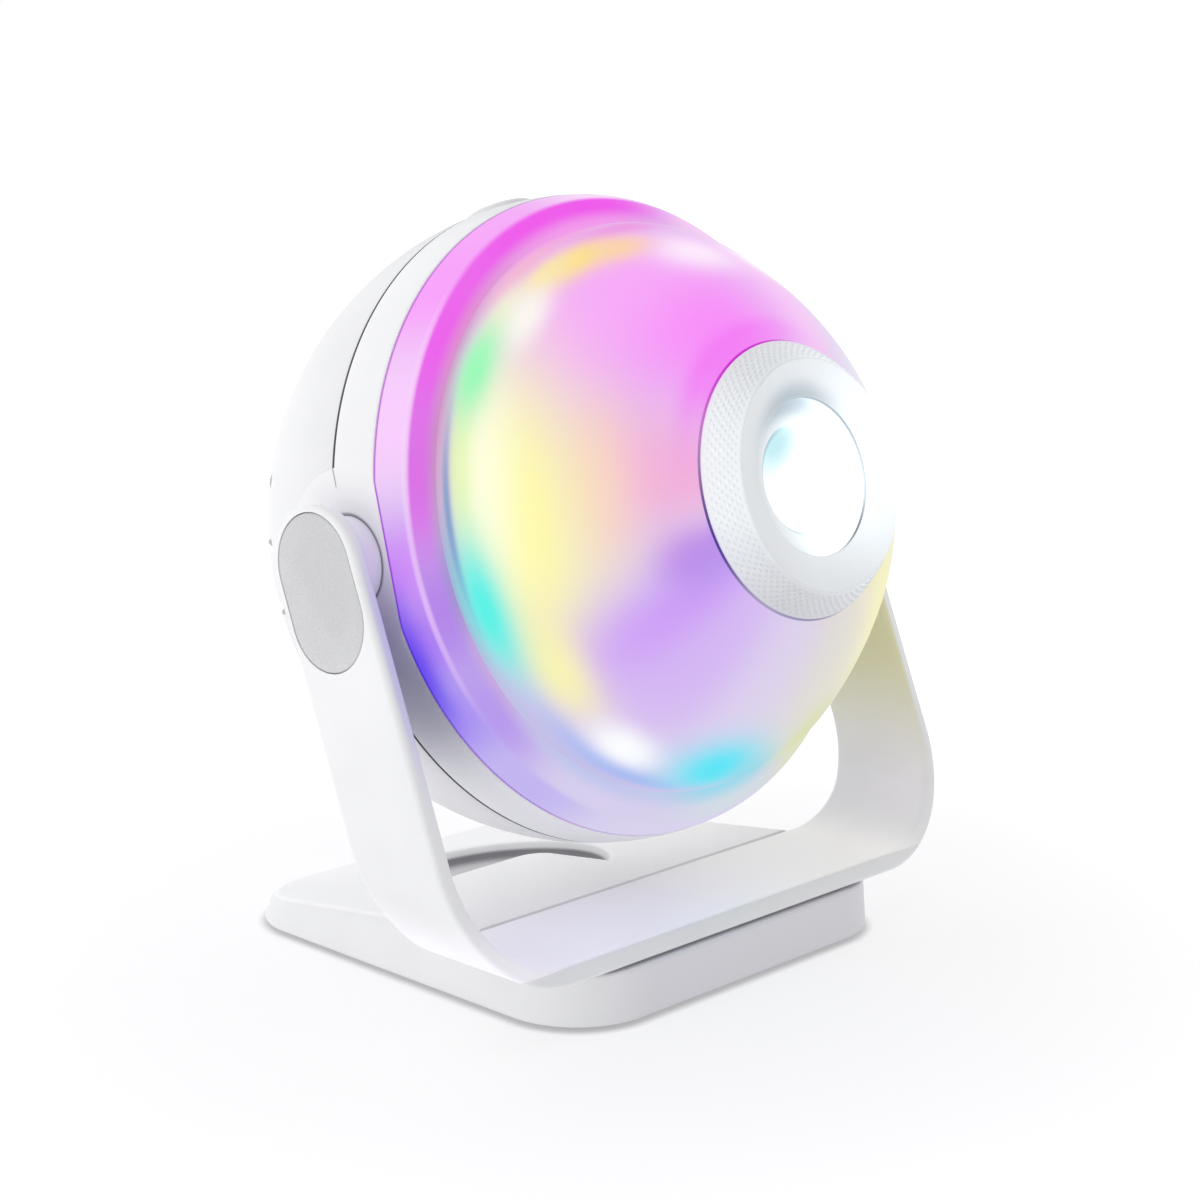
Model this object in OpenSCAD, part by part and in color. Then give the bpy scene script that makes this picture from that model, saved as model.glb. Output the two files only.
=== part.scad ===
/* [Base] */
// Width of the base
base_w = 113; // [100:1:130]
// Depth of the base
base_d = 122; // [114:1:140]
// Corner radius of the base, seen from above
base_r = 20; // [14:0.5:26]
// Height of the base shell at its rear edge
base_rear_h = 5.1; // [4.8:0.1:8]
// Slope of the base's top, rising to the front
base_slope = 7.45; // [6.5:0.05:9]
// Rounding of the base's top edge
base_fillet = 3; // [1:0.25:3.5]
// Inward lean of the base's side walls over their height
base_draft = 1.2; // [0:0.1:2]
// Wall of the base shell
base_wall = 2.4; // [1.6:0.1:2.6]
// Thickness of the bottom cover
cover_t = 1.6; // [1.2:0.1:2]
// Thickness of the rubber foot pad
foot_t = 1; // [0.6:0.1:2]
// Distance of the foot pad's edge from the base's edge
foot_inset = 4; // [2:0.5:8]
// Thickness of the steel ballast plate
ballast_t = 4; // [2:0.5:5]

/* [Finger scoop] */
// Distance of the scoop's middle from the base's middle
scoop_x = -5; // [-8:0.5:8]
// Distance of the scoop's middle behind the base's middle
scoop_y = 17; // [12:0.5:20]
// Half width of the scoop
scoop_half = 26; // [22:0.5:28]
// Depth of the scoop
scoop_depth = 4.4; // [2:0.1:4.8]
// Half width of the tongue that runs into the scoop
tongue_half = 14; // [10:0.5:17]
// Distance of the tongue's rear edge behind the base's middle
tongue_y = 19; // [14:0.5:22]

/* [Yoke] */
// Thickness of the yoke's strap
strap_t = 4.2; // [3.9:0.1:6]
// Outer radius of the yoke's bends
yoke_bend = 29; // [20:0.5:34]
// Width of the yoke's arms
arm_w = 27; // [26:0.5:34]
// Depth of the yoke's bottom bar
bar_d = 32.8; // [28:0.2:38]
// Distance of the bar's front edge from the base's front edge
bar_inset = 1.4; // [1:0.1:4]
// Height of the bar's underside above the base shell's bottom
bar_z = 12.3; // [12:0.1:16]
// Gap between the bar and the notch that it lies in
bar_gap = 0.4; // [0.2:0.1:1]

/* [Pivot] */
// Height of the pivot above the base shell's bottom
pivot_z = 101.57; // [100:0.5:112]
// Distance of the pivot in front of the base's middle
pivot_y = 9.17; // [4:0.25:14]
// Upward pitch of the lens at rest
rest_pitch = 14.7; // [0:0.1:40]
// Radius of the oval caps' ends
cap_r = 12; // [11.5:0.25:12.75]
// Distance between the centres of an oval cap's ends
cap_run = 11.1; // [6:0.1:20]
// Thickness of the oval caps
cap_t = 1.3; // [1:0.1:1.5]
// Gap round the oval caps
cap_gap = 0.25; // [0.1:0.05:0.5]
// Radius of the pivot hubs
hub_r = 10.1; // [8.5:0.1:12]
// Length of the pivot hubs, from the head's flats to the bushes
hub_len = 5.9; // [5.2:0.1:16]
// Radius of the pivot screws' shoulder
shoulder_r = 3; // [2.6:0.1:3.4]
// Radius of the pivot screws' head
pivot_head_r = 4.7; // [4.4:0.1:5.2]
// Thickness of the pivot screws' head
pivot_head_t = 1; // [0.8:0.1:1.1]
// Radial clearance of the pivot
pivot_fit = 0.04; // [0.02:0.01:0.08]
// Thickness of the pivot bushes' flange
bush_t = 0.5; // [0.4:0.1:0.9]
// Thickness of the spring washers
spring_t = 0.3; // [0.2:0.05:0.35]

/* [Head] */
// Radius of the round head
head_r = 76.8; // [70:0.1:82]
// Distance of the round head's centre in front of the pivot
head_z = 0.8; // [0:0.1:2]
// Wall of the housings
head_wall = 2.4; // [1.8:0.1:2.8]
// Depth of the flat on each side of the round head
flat_depth = 2.8; // [2.2:0.1:3.4]
// Position of the seam along the lens axis
seam_z = -0.4; // [-1:0.1:0.5]
// Width of the seam's groove
seam_gap = 0.7; // [0.4:0.1:1.2]
// Number of vent slots in the rear housing
vent_n = 28; // [16:2:32]
// Width of a vent slot
vent_w = 3; // [2:0.1:4]
// Length of a vent slot
vent_l = 23; // [14:0.5:25]
// Angle of the vents' ring from the rear pole
vent_tilt = 53; // [51:0.5:55]

/* [Light ring and dome] */
// Step from the round head's radius in to the light ring's
ring_step = 1.8; // [1.4:0.1:2]
// Width of the light ring, seen from the front
ring_w = 9; // [8.1:0.1:10]
// Position of the light ring's rear edge
ring_z = 12.3; // [12:0.1:13.5]
// Position of the light ring's front
ring_front_z = 22.6; // [21.5:0.1:24]
// Position of the dome's front face
dome_front_z = 65.8; // [65.4:0.1:65.9]
// Radius of the dome's front face
dome_front_r = 33.6; // [32:0.1:35]
// Step from the dome's foot in to its shoulder
shoulder_in = 3.7; // [3:0.1:4.5]
// Position of the dome's shoulder
shoulder_dome_z = 36.4; // [35.5:0.1:37.5]
// Wall of the diffusers
diffuser_wall = 1.8; // [1.2:0.1:2.1]

/* [Focus ring and lens] */
// Rear radius of the focus ring
focus_r = 30.8; // [30:0.1:32]
// Front radius of the focus ring
focus_front_r = 25.9; // [24.5:0.1:27]
// Position of the focus ring's rear face
focus_z = 66.1; // [66:0.05:66.4]
// Position of the focus ring's front edge
focus_front_z = 73.4; // [73:0.1:75]
// Radius of the hole in the focus ring's dish
eye_r = 17.5; // [16.5:0.1:18.5]
// Position of the dish's inner edge
eye_z = 70.9; // [70.7:0.1:71.5]
// Outer radius of the lens barrel
barrel_r = 24; // [23.6:0.1:24.2]
// Inner radius of the lens barrel
bore_r = 21; // [20.4:0.1:21.4]
// Radial clearance of the focus ring on the barrel
focus_fit = 0.05; // [0.03:0.01:0.08]
// Radial clearance of the lens carrier in the barrel
carrier_fit = 0.05; // [0.03:0.01:0.08]
// Radius of the objective lens
lens_r = 13.4; // [12.8:0.1:13.8]
// Radius of curvature of the objective lens
lens_curve = 36; // [28:1:44]
// Clear radius in front of the objective lens
aperture_r = 12.6; // [11.5:0.1:12.7]
// Travel of the lens carrier
focus_travel = 3; // [2:0.1:3]
// Turn of the focus ring over that travel
focus_turn = 60; // [50:1:70]
// Radius of the drive pin
pin_r = 1; // [0.8:0.05:1.1]

/* [Star disc] */
// Distance of the star disc's axle below the lens axis
wheel_y = 24; // [23:0.25:25]
// Gap between the star disc's edge and the dome's wall
disc_gap = 3.2; // [2.5:0.1:6]
// Thickness of the star disc
wheel_t = 1; // [0.6:0.1:1.4]
// Position of the star disc's rear face
wheel_z = 28; // [27:0.25:29]
// Radius of the motor's shaft
shaft_r = 1; // [0.8:0.1:1.4]
// Radial clearance of the shaft
shaft_fit = 0.04; // [0.03:0.01:0.08]

/* [Inside the head] */
// Radius of the main board
board_r = 47; // [45:0.5:50]
// Width of the heat sink
sink_w = 56; // [54:1:60]
// Height of the heat sink's fins
fin_h = 18; // [12:0.5:19]
// Thickness of the heat sink's plate
sink_t = 3; // [2.5:0.1:3.5]
// Thickness of the heat sink's fins
fin_t = 1.6; // [1:0.1:2]
// Spacing of the heat sink's fins
fin_pitch = 5.5; // [5:0.1:6]
// Radius of the gear motor
motor_r = 7; // [6:0.25:8]
// Length of the small screws' shank
screw_len = 6; // [5:0.5:6.5]

/* [Power button and inlet] */
// Radius of the power button
button_r = 8.6; // [7:0.1:9.2]
// Height of the power button above the housing
button_h = 1.9; // [1.2:0.1:2.6]
// Angle of the power button behind the head's top
button_tilt = 9; // [8.5:0.5:14]
// Travel of the power button
button_travel = 0.5; // [0.3:0.1:0.6]
// Gap round the power button
button_gap = 0.3; // [0.2:0.05:0.5]
// Distance of the inlet below the lens axis
inlet_y = 20; // [16:0.5:26]

/* [Hidden] */
$fn = 96;
e = 0.01;
big = 400;

// Heights and planes of the base
shell_z = foot_t;
notch_z = shell_z + bar_z;
bar_front = -base_d / 2 + bar_inset;
bar_rear = bar_front + bar_d;
function top_z(y) = shell_z + base_rear_h + (base_d / 2 - y) * tan(base_slope);

// Pivot and the head's own frame: x to the right, y up across the lens, z along the lens axis
pivot = [0, -pivot_y, shell_z + pivot_z];
// Backward lean of the arms, whose front edges rise from the bar's front edge
bar_to_pivot = [pivot[1] - bar_front, pivot[2] - notch_z];
arm_lean = acos(arm_w / 2 / norm(bar_to_pivot)) - atan2(bar_to_pivot[1], bar_to_pivot[0]);
flat_x = head_r - flat_depth;
hub_out = flat_x + hub_len;
arm_in = hub_out + bush_t;
arm_out = arm_in + strap_t;
yoke_w = 2 * arm_out;
pocket_x = arm_out - cap_t;
counter_x = pocket_x - pivot_head_t - spring_t - 0.1;
counter_r = pivot_head_r + 0.5;
bush_r = shoulder_r + 1;
nut_in = flat_x - 3.5 - 3;
ear_r = sqrt(head_r * head_r - flat_x * flat_x) + 0.2;
ear_in = flat_x - 3.5;

// Light ring, dome and star disc
ring_r = head_r - ring_step;
valley_r = ring_r - ring_w;
shoulder_dome_r = valley_r - shoulder_in;
wheel_r = valley_r - diffuser_wall - disc_gap - wheel_y;

// Parts inside the head
flange_z = 3;
flange_t = 2.5;
frame_z = flange_z + flange_t;
frame_t = 2.5;
deck_z = frame_z + frame_t;
board_t = 1.6;
frame_r = ring_r - diffuser_wall - 0.3;
skirt_r = ring_r - diffuser_wall + 0.15;
flange_in = ring_r - 11;
frame_screw_r = flange_in + 4;
boss_ring = flange_in - 6;
bridge_z = 33;
bridge_t = 3;
barrel_end = eye_z - 1.9;
pin_z = barrel_end - 3.4;
carrier_front = barrel_end - focus_travel / 2 - 0.3;
carrier_len = 15;
seat_z = carrier_front - 1.1;
lens_edge = 3.4;
sleeve_r = barrel_r + 3.5;
rib_r = barrel_r + 1.2;
rib_z = focus_z - 5.6;
rib_t = 1.5;
leg_r = 3;
legs = [for (x = [1, -1]) [x * 32, 13], for (x = [1, -1]) [x * (wheel_r + leg_r), -wheel_y / 2]];
led_in = max(norm(legs[0]), norm(legs[2])) + leg_r + 1.24;
dome_led_r = (led_in + valley_r - diffuser_wall) / 2;
sink_screw = sink_w / 2 - 4;
main_z = -24;
post_xy = 31;
inlet_z = head_z - sqrt(head_r * head_r - inlet_y * inlet_y);
// Where the rear housing's inner face lies at x, y
function inner_z(x, y) = head_z - sqrt(pow(head_r - head_wall, 2) - x * x - y * y);
button_top = head_r + button_h;

// Points of a cubic curve
function curve(a, b, c, d, n) = [for (i = [0:n]) let(t = i / n, u = 1 - t)
    u * u * u * a + 3 * u * u * t * b + 3 * u * t * t * c + t * t * t * d];

module in_head() {
    translate(pivot) rotate([90 - rest_pitch, 0, 0]) children();
}
module rod(r, z0, z1) {
    translate([0, 0, z0]) cylinder(r = r, h = z1 - z0);
}
module tube(r, bore, z0, z1) {
    difference() {
        rod(r, z0, z1);
        rod(bore, z0 - e, z1 + e);
    }
}
// Rod along x, mirrored to the left for side = -1
module cross_rod(r, x0, x1, side = 1) {
    mirror([side < 0 ? 1 : 0, 0, 0]) rotate([0, 90, 0]) rod(r, x0, x1);
}
module rounded_rect(w, d, r) {
    square([w - 2 * r, d], center = true);
    square([w, d - 2 * r], center = true);
    for (x = [-1, 1], y = [-1, 1]) translate([x * (w / 2 - r), y * (d / 2 - r)]) circle(r);
}
module oval(r, run) {
    circle(r);
    translate([0, -run]) circle(r);
    translate([-r, -run]) square([2 * r, run]);
}

// Base

// Everything under the sloping top, lowered by drop
module under_top(drop) {
    translate([0, base_d / 2, shell_z + base_rear_h - drop]) rotate([-base_slope, 0, 0])
        translate([-big / 2, -big / 2, -big]) cube([big, big, big]);
}
module wedge_corner(x, y) {
    r = base_r - base_draft;
    h = top_z(y * (base_d / 2 - base_r)) - base_fillet / cos(base_slope);
    translate([x * (base_w / 2 - base_r), y * (base_d / 2 - base_r), h]) rotate([-base_slope, 0, 0])
        rotate_extrude($fn = 48) translate([r - base_fillet, 0]) circle(base_fillet, $fn = 24);
}
module wedge() {
    hull() {
        translate([0, 0, shell_z]) linear_extrude(0.6) rounded_rect(base_w, base_d, base_r, $fn = 48);
        for (x = [-1, 1], y = [-1, 1]) wedge_corner(x, y);
    }
}
// The tongue that stays, seen from above, inset by the wall
module tongue_plan(inset) {
    translate([scoop_x, 0]) {
        translate([-tongue_half + inset, tongue_y - 60]) square([2 * tongue_half - 2 * inset, 54]);
        translate([-tongue_half + 6, tongue_y - 60]) square([2 * tongue_half - 12, 60 - inset]);
        for (x = [-1, 1]) translate([x * (tongue_half - 6), tongue_y - 6]) circle(6 - inset);
    }
}
module scoop(grow) {
    // A ball's cap sunk into the sloping top, all but the tongue
    r = (scoop_half * scoop_half + scoop_depth * scoop_depth) / (2 * scoop_depth);
    difference() {
        translate([scoop_x, scoop_y, top_z(scoop_y)]) rotate([-base_slope, 0, 0])
            translate([0, 0, r - scoop_depth]) sphere(r + grow, $fn = 180);
        translate([0, 0, -10]) linear_extrude(60) tongue_plan(grow);
    }
}
cover_xy = [[base_w / 2 - 9.5, -base_d / 2 + 15], [base_w / 2 - 9.5, base_d / 2 - 39]];
bar_xy = [for (x = [-30, 30], y = [bar_front + 8, bar_rear - 8]) [x, y]];
module base_shell() {
    color("white") difference() {
        union() {
            difference() {
                intersection() {
                    wedge();
                    translate([-big / 2, -big / 2, 0]) cube([big, big, big]);
                }
                translate([-big / 2, -big, notch_z]) cube([big, big + bar_rear + bar_gap, big]);
                intersection() {
                    linear_extrude(notch_z - base_wall)
                        rounded_rect(base_w - 2 * base_wall, base_d - 2 * base_wall, base_r - base_wall);
                    under_top(base_wall);
                }
            }
            intersection() {
                scoop(1.6);
                wedge();
                translate([-big / 2, -big / 2, shell_z + cover_t]) cube([big, big, big]);
            }
            intersection() {
                for (p = cover_xy, x = [-1, 1]) translate([x * p[0], p[1], 0]) rod(3.6, shell_z + cover_t, 40);
                under_top(1);
                rod(big, 0, notch_z - 1);
            }
        }
        scoop(0);
        for (p = cover_xy, x = [-1, 1]) translate([x * p[0], p[1], 0]) rod(1.25, 0, shell_z + cover_t + 4.2);
        for (p = bar_xy) translate([p[0], p[1], 0]) rod(2.1, 0, 40);
    }
}
module base_cover() {
    color("gainsboro") difference() {
        translate([0, 0, shell_z]) linear_extrude(cover_t)
            rounded_rect(base_w - 2 * base_wall - 0.4, base_d - 2 * base_wall - 0.4, base_r - base_wall - 0.2);
        for (p = cover_xy, x = [-1, 1]) translate([x * p[0], p[1], 0]) {
            rod(1.6, 0, 20);
            translate([0, 0, shell_z - e]) cylinder(r1 = 2.9, r2 = 1.6, h = 1.2);
        }
    }
}
module foot_pad() {
    color("dimgray") linear_extrude(foot_t)
        rounded_rect(base_w - 2 * foot_inset, base_d - 2 * foot_inset, base_r - foot_inset);
}
module ballast() {
    color("silver") translate([-base_w / 2 + 17, -base_d / 2 + 8, shell_z + cover_t])
        cube([base_w - 34, base_d / 2 - 12, ballast_t]);
}
module cover_screws() {
    color("silver") for (p = cover_xy, x = [-1, 1]) translate([x * p[0], p[1], shell_z]) {
        cylinder(r1 = 2.8, r2 = 1.5, h = 1.2);
        rod(1.25, 0, cover_t + 4);
    }
}

// Yoke

// The strap's outline in the x-z plane, offset inwards by t
module strap_outline(t) {
    w = yoke_w / 2 - t;
    r = yoke_bend - t;
    z = notch_z + t;
    translate([-w, z + r]) square([2 * w, big]);
    translate([-w + r, z]) square([2 * w - 2 * r, big]);
    for (x = [-1, 1]) translate([x * (w - r), z + r]) circle(r, $fn = 144);
}
module arm_side() {
    // Seen from the side, in y-z: a leaning band with a round top, and the bar's rear edge
    translate([pivot[1], pivot[2]]) rotate(-arm_lean) {
        circle(arm_w / 2);
        translate([-arm_w / 2, -big]) square([arm_w, big]);
    }
    rise = (bar_rear - pivot[1] - arm_w / 2 / cos(arm_lean)) / tan(arm_lean) + pivot[2];
    translate([bar_rear - bar_d / 2, notch_z]) square([bar_d / 2, rise - notch_z]);
}
module strap_side() {
    intersection() {
        arm_side();
        translate([-big / 2, notch_z]) square([big, big]);
    }
}
module each_side() {
    children();
    mirror([1, 0, 0]) children();
}
module yoke() {
    color("white") difference() {
        intersection() {
            translate([0, big / 2, 0]) rotate([90, 0, 0]) linear_extrude(big) difference() {
                intersection() {
                    strap_outline(0);
                    translate([-big / 2, 0]) square([big, pivot[2] + arm_w]);
                }
                strap_outline(strap_t);
            }
            translate([-big / 2, 0, 0]) rotate([90, 0, 90]) linear_extrude(big) strap_side();
        }
        each_side() translate(pivot) {
            cross_rod(bush_r, arm_in - 1, arm_out + 1);
            cross_rod(counter_r, counter_x, arm_out + 1);
            translate([pocket_x, 0, 0]) rotate([90, 0, 90]) rotate(-arm_lean) linear_extrude(cap_t + 1)
                oval(cap_r + cap_gap, cap_run);
        }
        for (p = bar_xy) translate([p[0], p[1], 0]) rod(2, 0, notch_z + strap_t - 1);
    }
}
module cap() {
    color("gainsboro") translate(pivot) translate([pocket_x, 0, 0]) rotate([90, 0, 90]) rotate(-arm_lean)
        linear_extrude(cap_t) oval(cap_r, cap_run);
}
module cap_right() cap();
module cap_left() mirror([1, 0, 0]) cap();
module bar_screws() {
    color("silver") for (p = bar_xy) translate([p[0], p[1], 0]) {
        rod(2, notch_z - base_wall - e, notch_z + strap_t - 1.2);
        difference() {
            rod(3.5, notch_z - base_wall - 2.5, notch_z - base_wall);
            rod(1.25, notch_z - base_wall - 3, notch_z - base_wall - 1.2, $fn = 6);
        }
    }
}
module bush() {
    color("ivory") translate(pivot) difference() {
        union() {
            cross_rod(hub_r, hub_out, arm_in);
            cross_rod(bush_r, hub_out, counter_x);
        }
        cross_rod(shoulder_r + pivot_fit, 0, big);
    }
}
module bush_right() bush();
module bush_left() mirror([1, 0, 0]) bush();
module spring_washers() {
    color("silver") each_side() translate(pivot) difference() {
        cross_rod(pivot_head_r, counter_x, counter_x + spring_t);
        cross_rod(shoulder_r + 0.2, 0, big);
    }
}
module hub() {
    color("white") translate(pivot) difference() {
        union() {
            cross_rod(hub_r, flat_x, hub_out);
            cross_rod(7, nut_in - 1, flat_x + 1);
        }
        cross_rod(2, nut_in + 2, big);
    }
}
module hub_right() hub();
module hub_left() mirror([1, 0, 0]) hub();
module hub_nuts() {
    color("silver") each_side() translate(pivot) difference() {
        cross_rod(10, nut_in, ear_in);
        cross_rod(7, 0, big);
        for (a = [0:60:300]) rotate([a, 0, 0]) translate([nut_in - 1, -1, 8.8]) cube([6, 2, 3]);
    }
}
module pivot_screws() {
    color("silver") each_side() translate(pivot) difference() {
        union() {
            cross_rod(pivot_head_r, counter_x + spring_t, counter_x + spring_t + pivot_head_t);
            cross_rod(shoulder_r, hub_out, counter_x + spring_t + 0.1);
            cross_rod(2, nut_in + 3, hub_out + 1);
        }
        translate([counter_x + spring_t + 0.4, 0, 0]) rotate([0, 90, 0]) cylinder(r = 1.5, h = 5, $fn = 6);
    }
}

// Housing

module ball(r) {
    translate([0, 0, head_z]) sphere(r, $fn = 120);
}
module slab(z0, z1) {
    translate([-big / 2, -big / 2, z0]) cube([big, big, z1 - z0]);
}
module button_axis() {
    translate([0, 0, head_z]) rotate([-90 - button_tilt, 0, 0]) children();
}
module boss_places() {
    for (a = [45:90:315]) rotate(a) translate([boss_ring, 0, 0]) children();
}
inlet_w = 9;
inlet_h = 3.3;
module inlet_outline(grow) {
    r = inlet_h / 2 + grow;
    square([inlet_w - inlet_h, 2 * r], center = true);
    for (x = [-1, 1]) translate([x * (inlet_w - inlet_h) / 2, 0]) circle(r, $fn = 48);
}
module vents() {
    // No slot crosses the four screw holes
    for (i = [0:vent_n - 1]) let(a = (i + 0.5) * 360 / vent_n) if (abs((a % 90) - 45) > 8)
        rotate(a) translate([0, 0, head_z]) rotate([0, 180 - vent_tilt, 0]) translate([0, 0, head_r - 6]) {
            linear_extrude(12) square([vent_l - vent_w, vent_w], center = true);
            for (s = [-1, 1]) translate([s * (vent_l - vent_w) / 2, 0, 0]) cylinder(r = vent_w / 2, h = 12, $fn = 24);
        }
}
module rear_housing() {
    color("white") in_head() difference() {
        union() {
            difference() {
                ball(head_r);
                ball(head_r - head_wall);
                slab(seam_z - seam_gap / 2, big);
            }
            intersection() {
                ball(head_r - 1);
                union() {
                    boss_places() rod(4.5, -big / 2, -4.5);
                    translate([-11, -inlet_y - 6, inlet_z - 2]) cube([22, 3, 24]);
                    button_axis() for (x = [-1, 1]) translate([x * 8, 11, 0]) rod(2.4, head_r - 11, head_r - 1);
                }
            }
        }
        each_side() cross_rod(ear_r + 0.3, 40, 90);
        boss_places() {
            rod(1.7, -big / 2, 0);
            rod(3.3, -big / 2, -20);
        }
        vents();
        button_axis() rod(button_r + button_gap, head_r - 10, big);
        button_axis() for (x = [-1, 1]) translate([x * 8, 11, 0]) rod(1, head_r - 12, head_r - 10 + screw_len);
        translate([0, -inlet_y, inlet_z - 8]) linear_extrude(13) inlet_outline(0.3);
        translate([0, -inlet_y, inlet_z - 9]) linear_extrude(10.4) inlet_outline(1.6);
    }
}
module front_band() {
    color("white") in_head() difference() {
        union() {
            difference() {
                ball(head_r);
                ball(head_r - head_wall);
                slab(-big, seam_z + seam_gap / 2);
                slab(ring_z, big);
            }
            // Locating lip behind the seam
            difference() {
                rod(head_r - head_wall - 0.8, -4, 4);
                rod(head_r - head_wall - 2.4, -5, 5);
                button_axis() rod(button_r + 1.6, 0, big);
            }
            // Flange that carries the inner frame
            difference() {
                rod(head_r - head_wall + 0.6, flange_z, flange_z + flange_t);
                rod(flange_in, 0, 20);
            }
            boss_places() {
                rod(4, -4, flange_z + flange_t);
                translate([0, -4, flange_z]) cube([flange_in + 2 - boss_ring, 8, flange_t]);
            }
            // Round ears with the flats that the hubs stand on
            intersection() {
                each_side() cross_rod(ear_r, ear_in, 90);
                ball(head_r);
                slab(-big, ring_z - 0.3);
            }
        }
        each_side() {
            cross_rod(big, flat_x, flat_x + 20);
            cross_rod(7.05, 40, 90);
            cross_rod(10.6, 50, ear_in);
        }
        boss_places() rod(1.25, -5, flange_z + flange_t - 0.8);
        for (a = frame_screws_a) rotate(a) translate([frame_screw_r, 0, 0]) rod(1, flange_z - 1, flange_z + 4);
    }
}
module housing_screws() {
    color("silver") in_head() boss_places() {
        rod(1.25, -20, flange_z + 1);
        difference() {
            rod(2.9, -22, -20);
            rod(1.2, -23, -21, $fn = 6);
        }
    }
}

// Inner frame, lights and light engine

module clear_of_nuts() {
    each_side() cross_rod(11, nut_in - 1.5, flat_x + 20);
    each_side() translate([ear_in - 0.3, -ear_r - 1, -30]) cube([20, 2 * ear_r + 2, 30 + ring_z]);
}
frame_screws_a = [30:60:330];
module inner_frame() {
    color("whitesmoke") in_head() difference() {
        union() {
            rod(frame_r, frame_z, deck_z);
            for (x = [-1, 1], y = [-1, 1]) translate([x * post_xy, y * post_xy, 0]) rod(3.2, main_z + board_t, frame_z + e);
        }
        rod(20, 0, 20);
        for (x = [-1, 1], y = [-1, 1]) translate([x * post_xy, y * post_xy, 0]) rod(1, main_z, main_z + screw_len + 3);
        for (x = [-1, 1], y = [-1, 1]) translate([x * sink_screw, y * sink_screw, 0]) rod(1, 0, deck_z + 1);
        for (p = legs) translate([p[0], p[1], 0]) rod(1.3, 0, 20);
        for (a = frame_screws_a) rotate(a) translate([frame_screw_r, 0, 0]) rod(1.3, 0, 20);
        clear_of_nuts();
    }
}
// Pan head screws, all alike: head at z0, shank towards s
module small_screw(z0, s) {
    translate([0, 0, z0]) mirror([0, 0, s < 0 ? 1 : 0]) {
        rod(1, -e, screw_len);
        difference() {
            rod(2.1, -1.4, 0);
            rod(0.8, -2, -0.7, $fn = 6);
        }
    }
}
module small_screws() {
    color("silver") in_head() {
        for (a = frame_screws_a) rotate(a) translate([frame_screw_r, 0, 0]) small_screw(deck_z, -1);
        for (x = [-1, 1], y = [-1, 1]) translate([x * post_xy, y * post_xy, 0]) small_screw(main_z, 1);
        for (x = [-1, 1], y = [-1, 1]) translate([x * sink_screw, y * sink_screw, 0]) small_screw(frame_z - sink_t, 1);
        for (p = legs) translate([p[0], p[1], 0]) small_screw(frame_z, 1);
        button_axis() for (x = [-1, 1]) translate([x * 8, 11, 0]) small_screw(head_r - 11 - 1.2, 1);
    }
}
module led_board() {
    color("darkgreen") in_head() difference() {
        rod(skirt_r - diffuser_wall - 0.3, deck_z, deck_z + board_t);
        rod(led_in, 0, 20);
        for (a = frame_screws_a) rotate(a) translate([frame_screw_r, 0, 0]) rod(2.5, 0, 20);
        clear_of_nuts();
    }
}
module led(s) {
    translate([-s / 2, -s / 2, deck_z + board_t]) cube([s, s, 1.4]);
}
module ring_leds() {
    color("white") in_head() for (i = [0:23]) let(a = i * 15 + 7.5) if (abs(sin(a)) > 0.3) rotate(a)
        translate([(valley_r + skirt_r - diffuser_wall) / 2, 0, 0]) led(3.5);
}
module dome_leds() {
    color("white") in_head() for (i = [0:11]) rotate(i * 30 + 15) translate([dome_led_r, 0, 0]) led(5);
}
ring_outer = concat(
    curve([ring_r, ring_z], [ring_r, ring_z + 5.7], [ring_r - 2.4, ring_front_z], [ring_r - 5.6, ring_front_z], 14),
    curve([ring_r - 5.6, ring_front_z], [ring_r - 7.6, ring_front_z], [valley_r + 1.2, ring_front_z - 0.2],
        [valley_r + 0.3, ring_front_z - 1], 5));
module ring_diffuser() {
    w = diffuser_wall;
    inner = concat(
        curve([ring_r - w, ring_z], [ring_r - w, ring_z + 4.6], [ring_r - 3.4, ring_front_z - w],
            [ring_r - 5.8, ring_front_z - w], 10),
        [[valley_r + 0.3, ring_front_z - w - 0.6]]);
    color("violet") in_head() difference() {
        union() {
            rotate_extrude($fn = 180) polygon(concat(ring_outer, [for (i = [len(inner) - 1:-1:0]) inner[i]]));
            tube(skirt_r, skirt_r - w, deck_z, ring_z + 1);
        }
        each_side() cross_rod(big, flat_x, flat_x + 20);
        clear_of_nuts();
    }
}
function dome_curve(w) = concat(
    curve([valley_r - w, ring_front_z - 2], [valley_r + 0.5 - w, 28], [shoulder_dome_r + 2.7 - w, shoulder_dome_z - 3.8],
        [shoulder_dome_r - 0.8 * w, shoulder_dome_z - 0.5 * w], 10),
    [for (i = [1:16]) curve([shoulder_dome_r - 0.8 * w, shoulder_dome_z - 0.5 * w],
        [shoulder_dome_r - 7.7 - 0.7 * w, shoulder_dome_z + 11.1 - 0.6 * w],
        [dome_front_r + 10.9 - 0.7 * w, dome_front_z - 7.2 - 0.7 * w],
        [dome_front_r + 0.4 - 0.4 * w, dome_front_z - 0.6 - w], 16)[i]]);
module dome_diffuser() {
    w = diffuser_wall;
    outer = dome_curve(0);
    inner = dome_curve(w);
    color("plum") in_head() {
        rotate_extrude($fn = 180) polygon(concat(
            [[valley_r, deck_z + board_t]], outer, [[dome_front_r, dome_front_z], [sleeve_r + 0.7, dome_front_z],
            [sleeve_r + 0.7, dome_front_z - w]], [for (i = [len(inner) - 1:-1:0]) inner[i]],
            [[valley_r - w, deck_z + board_t]]));
    }
}
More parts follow.
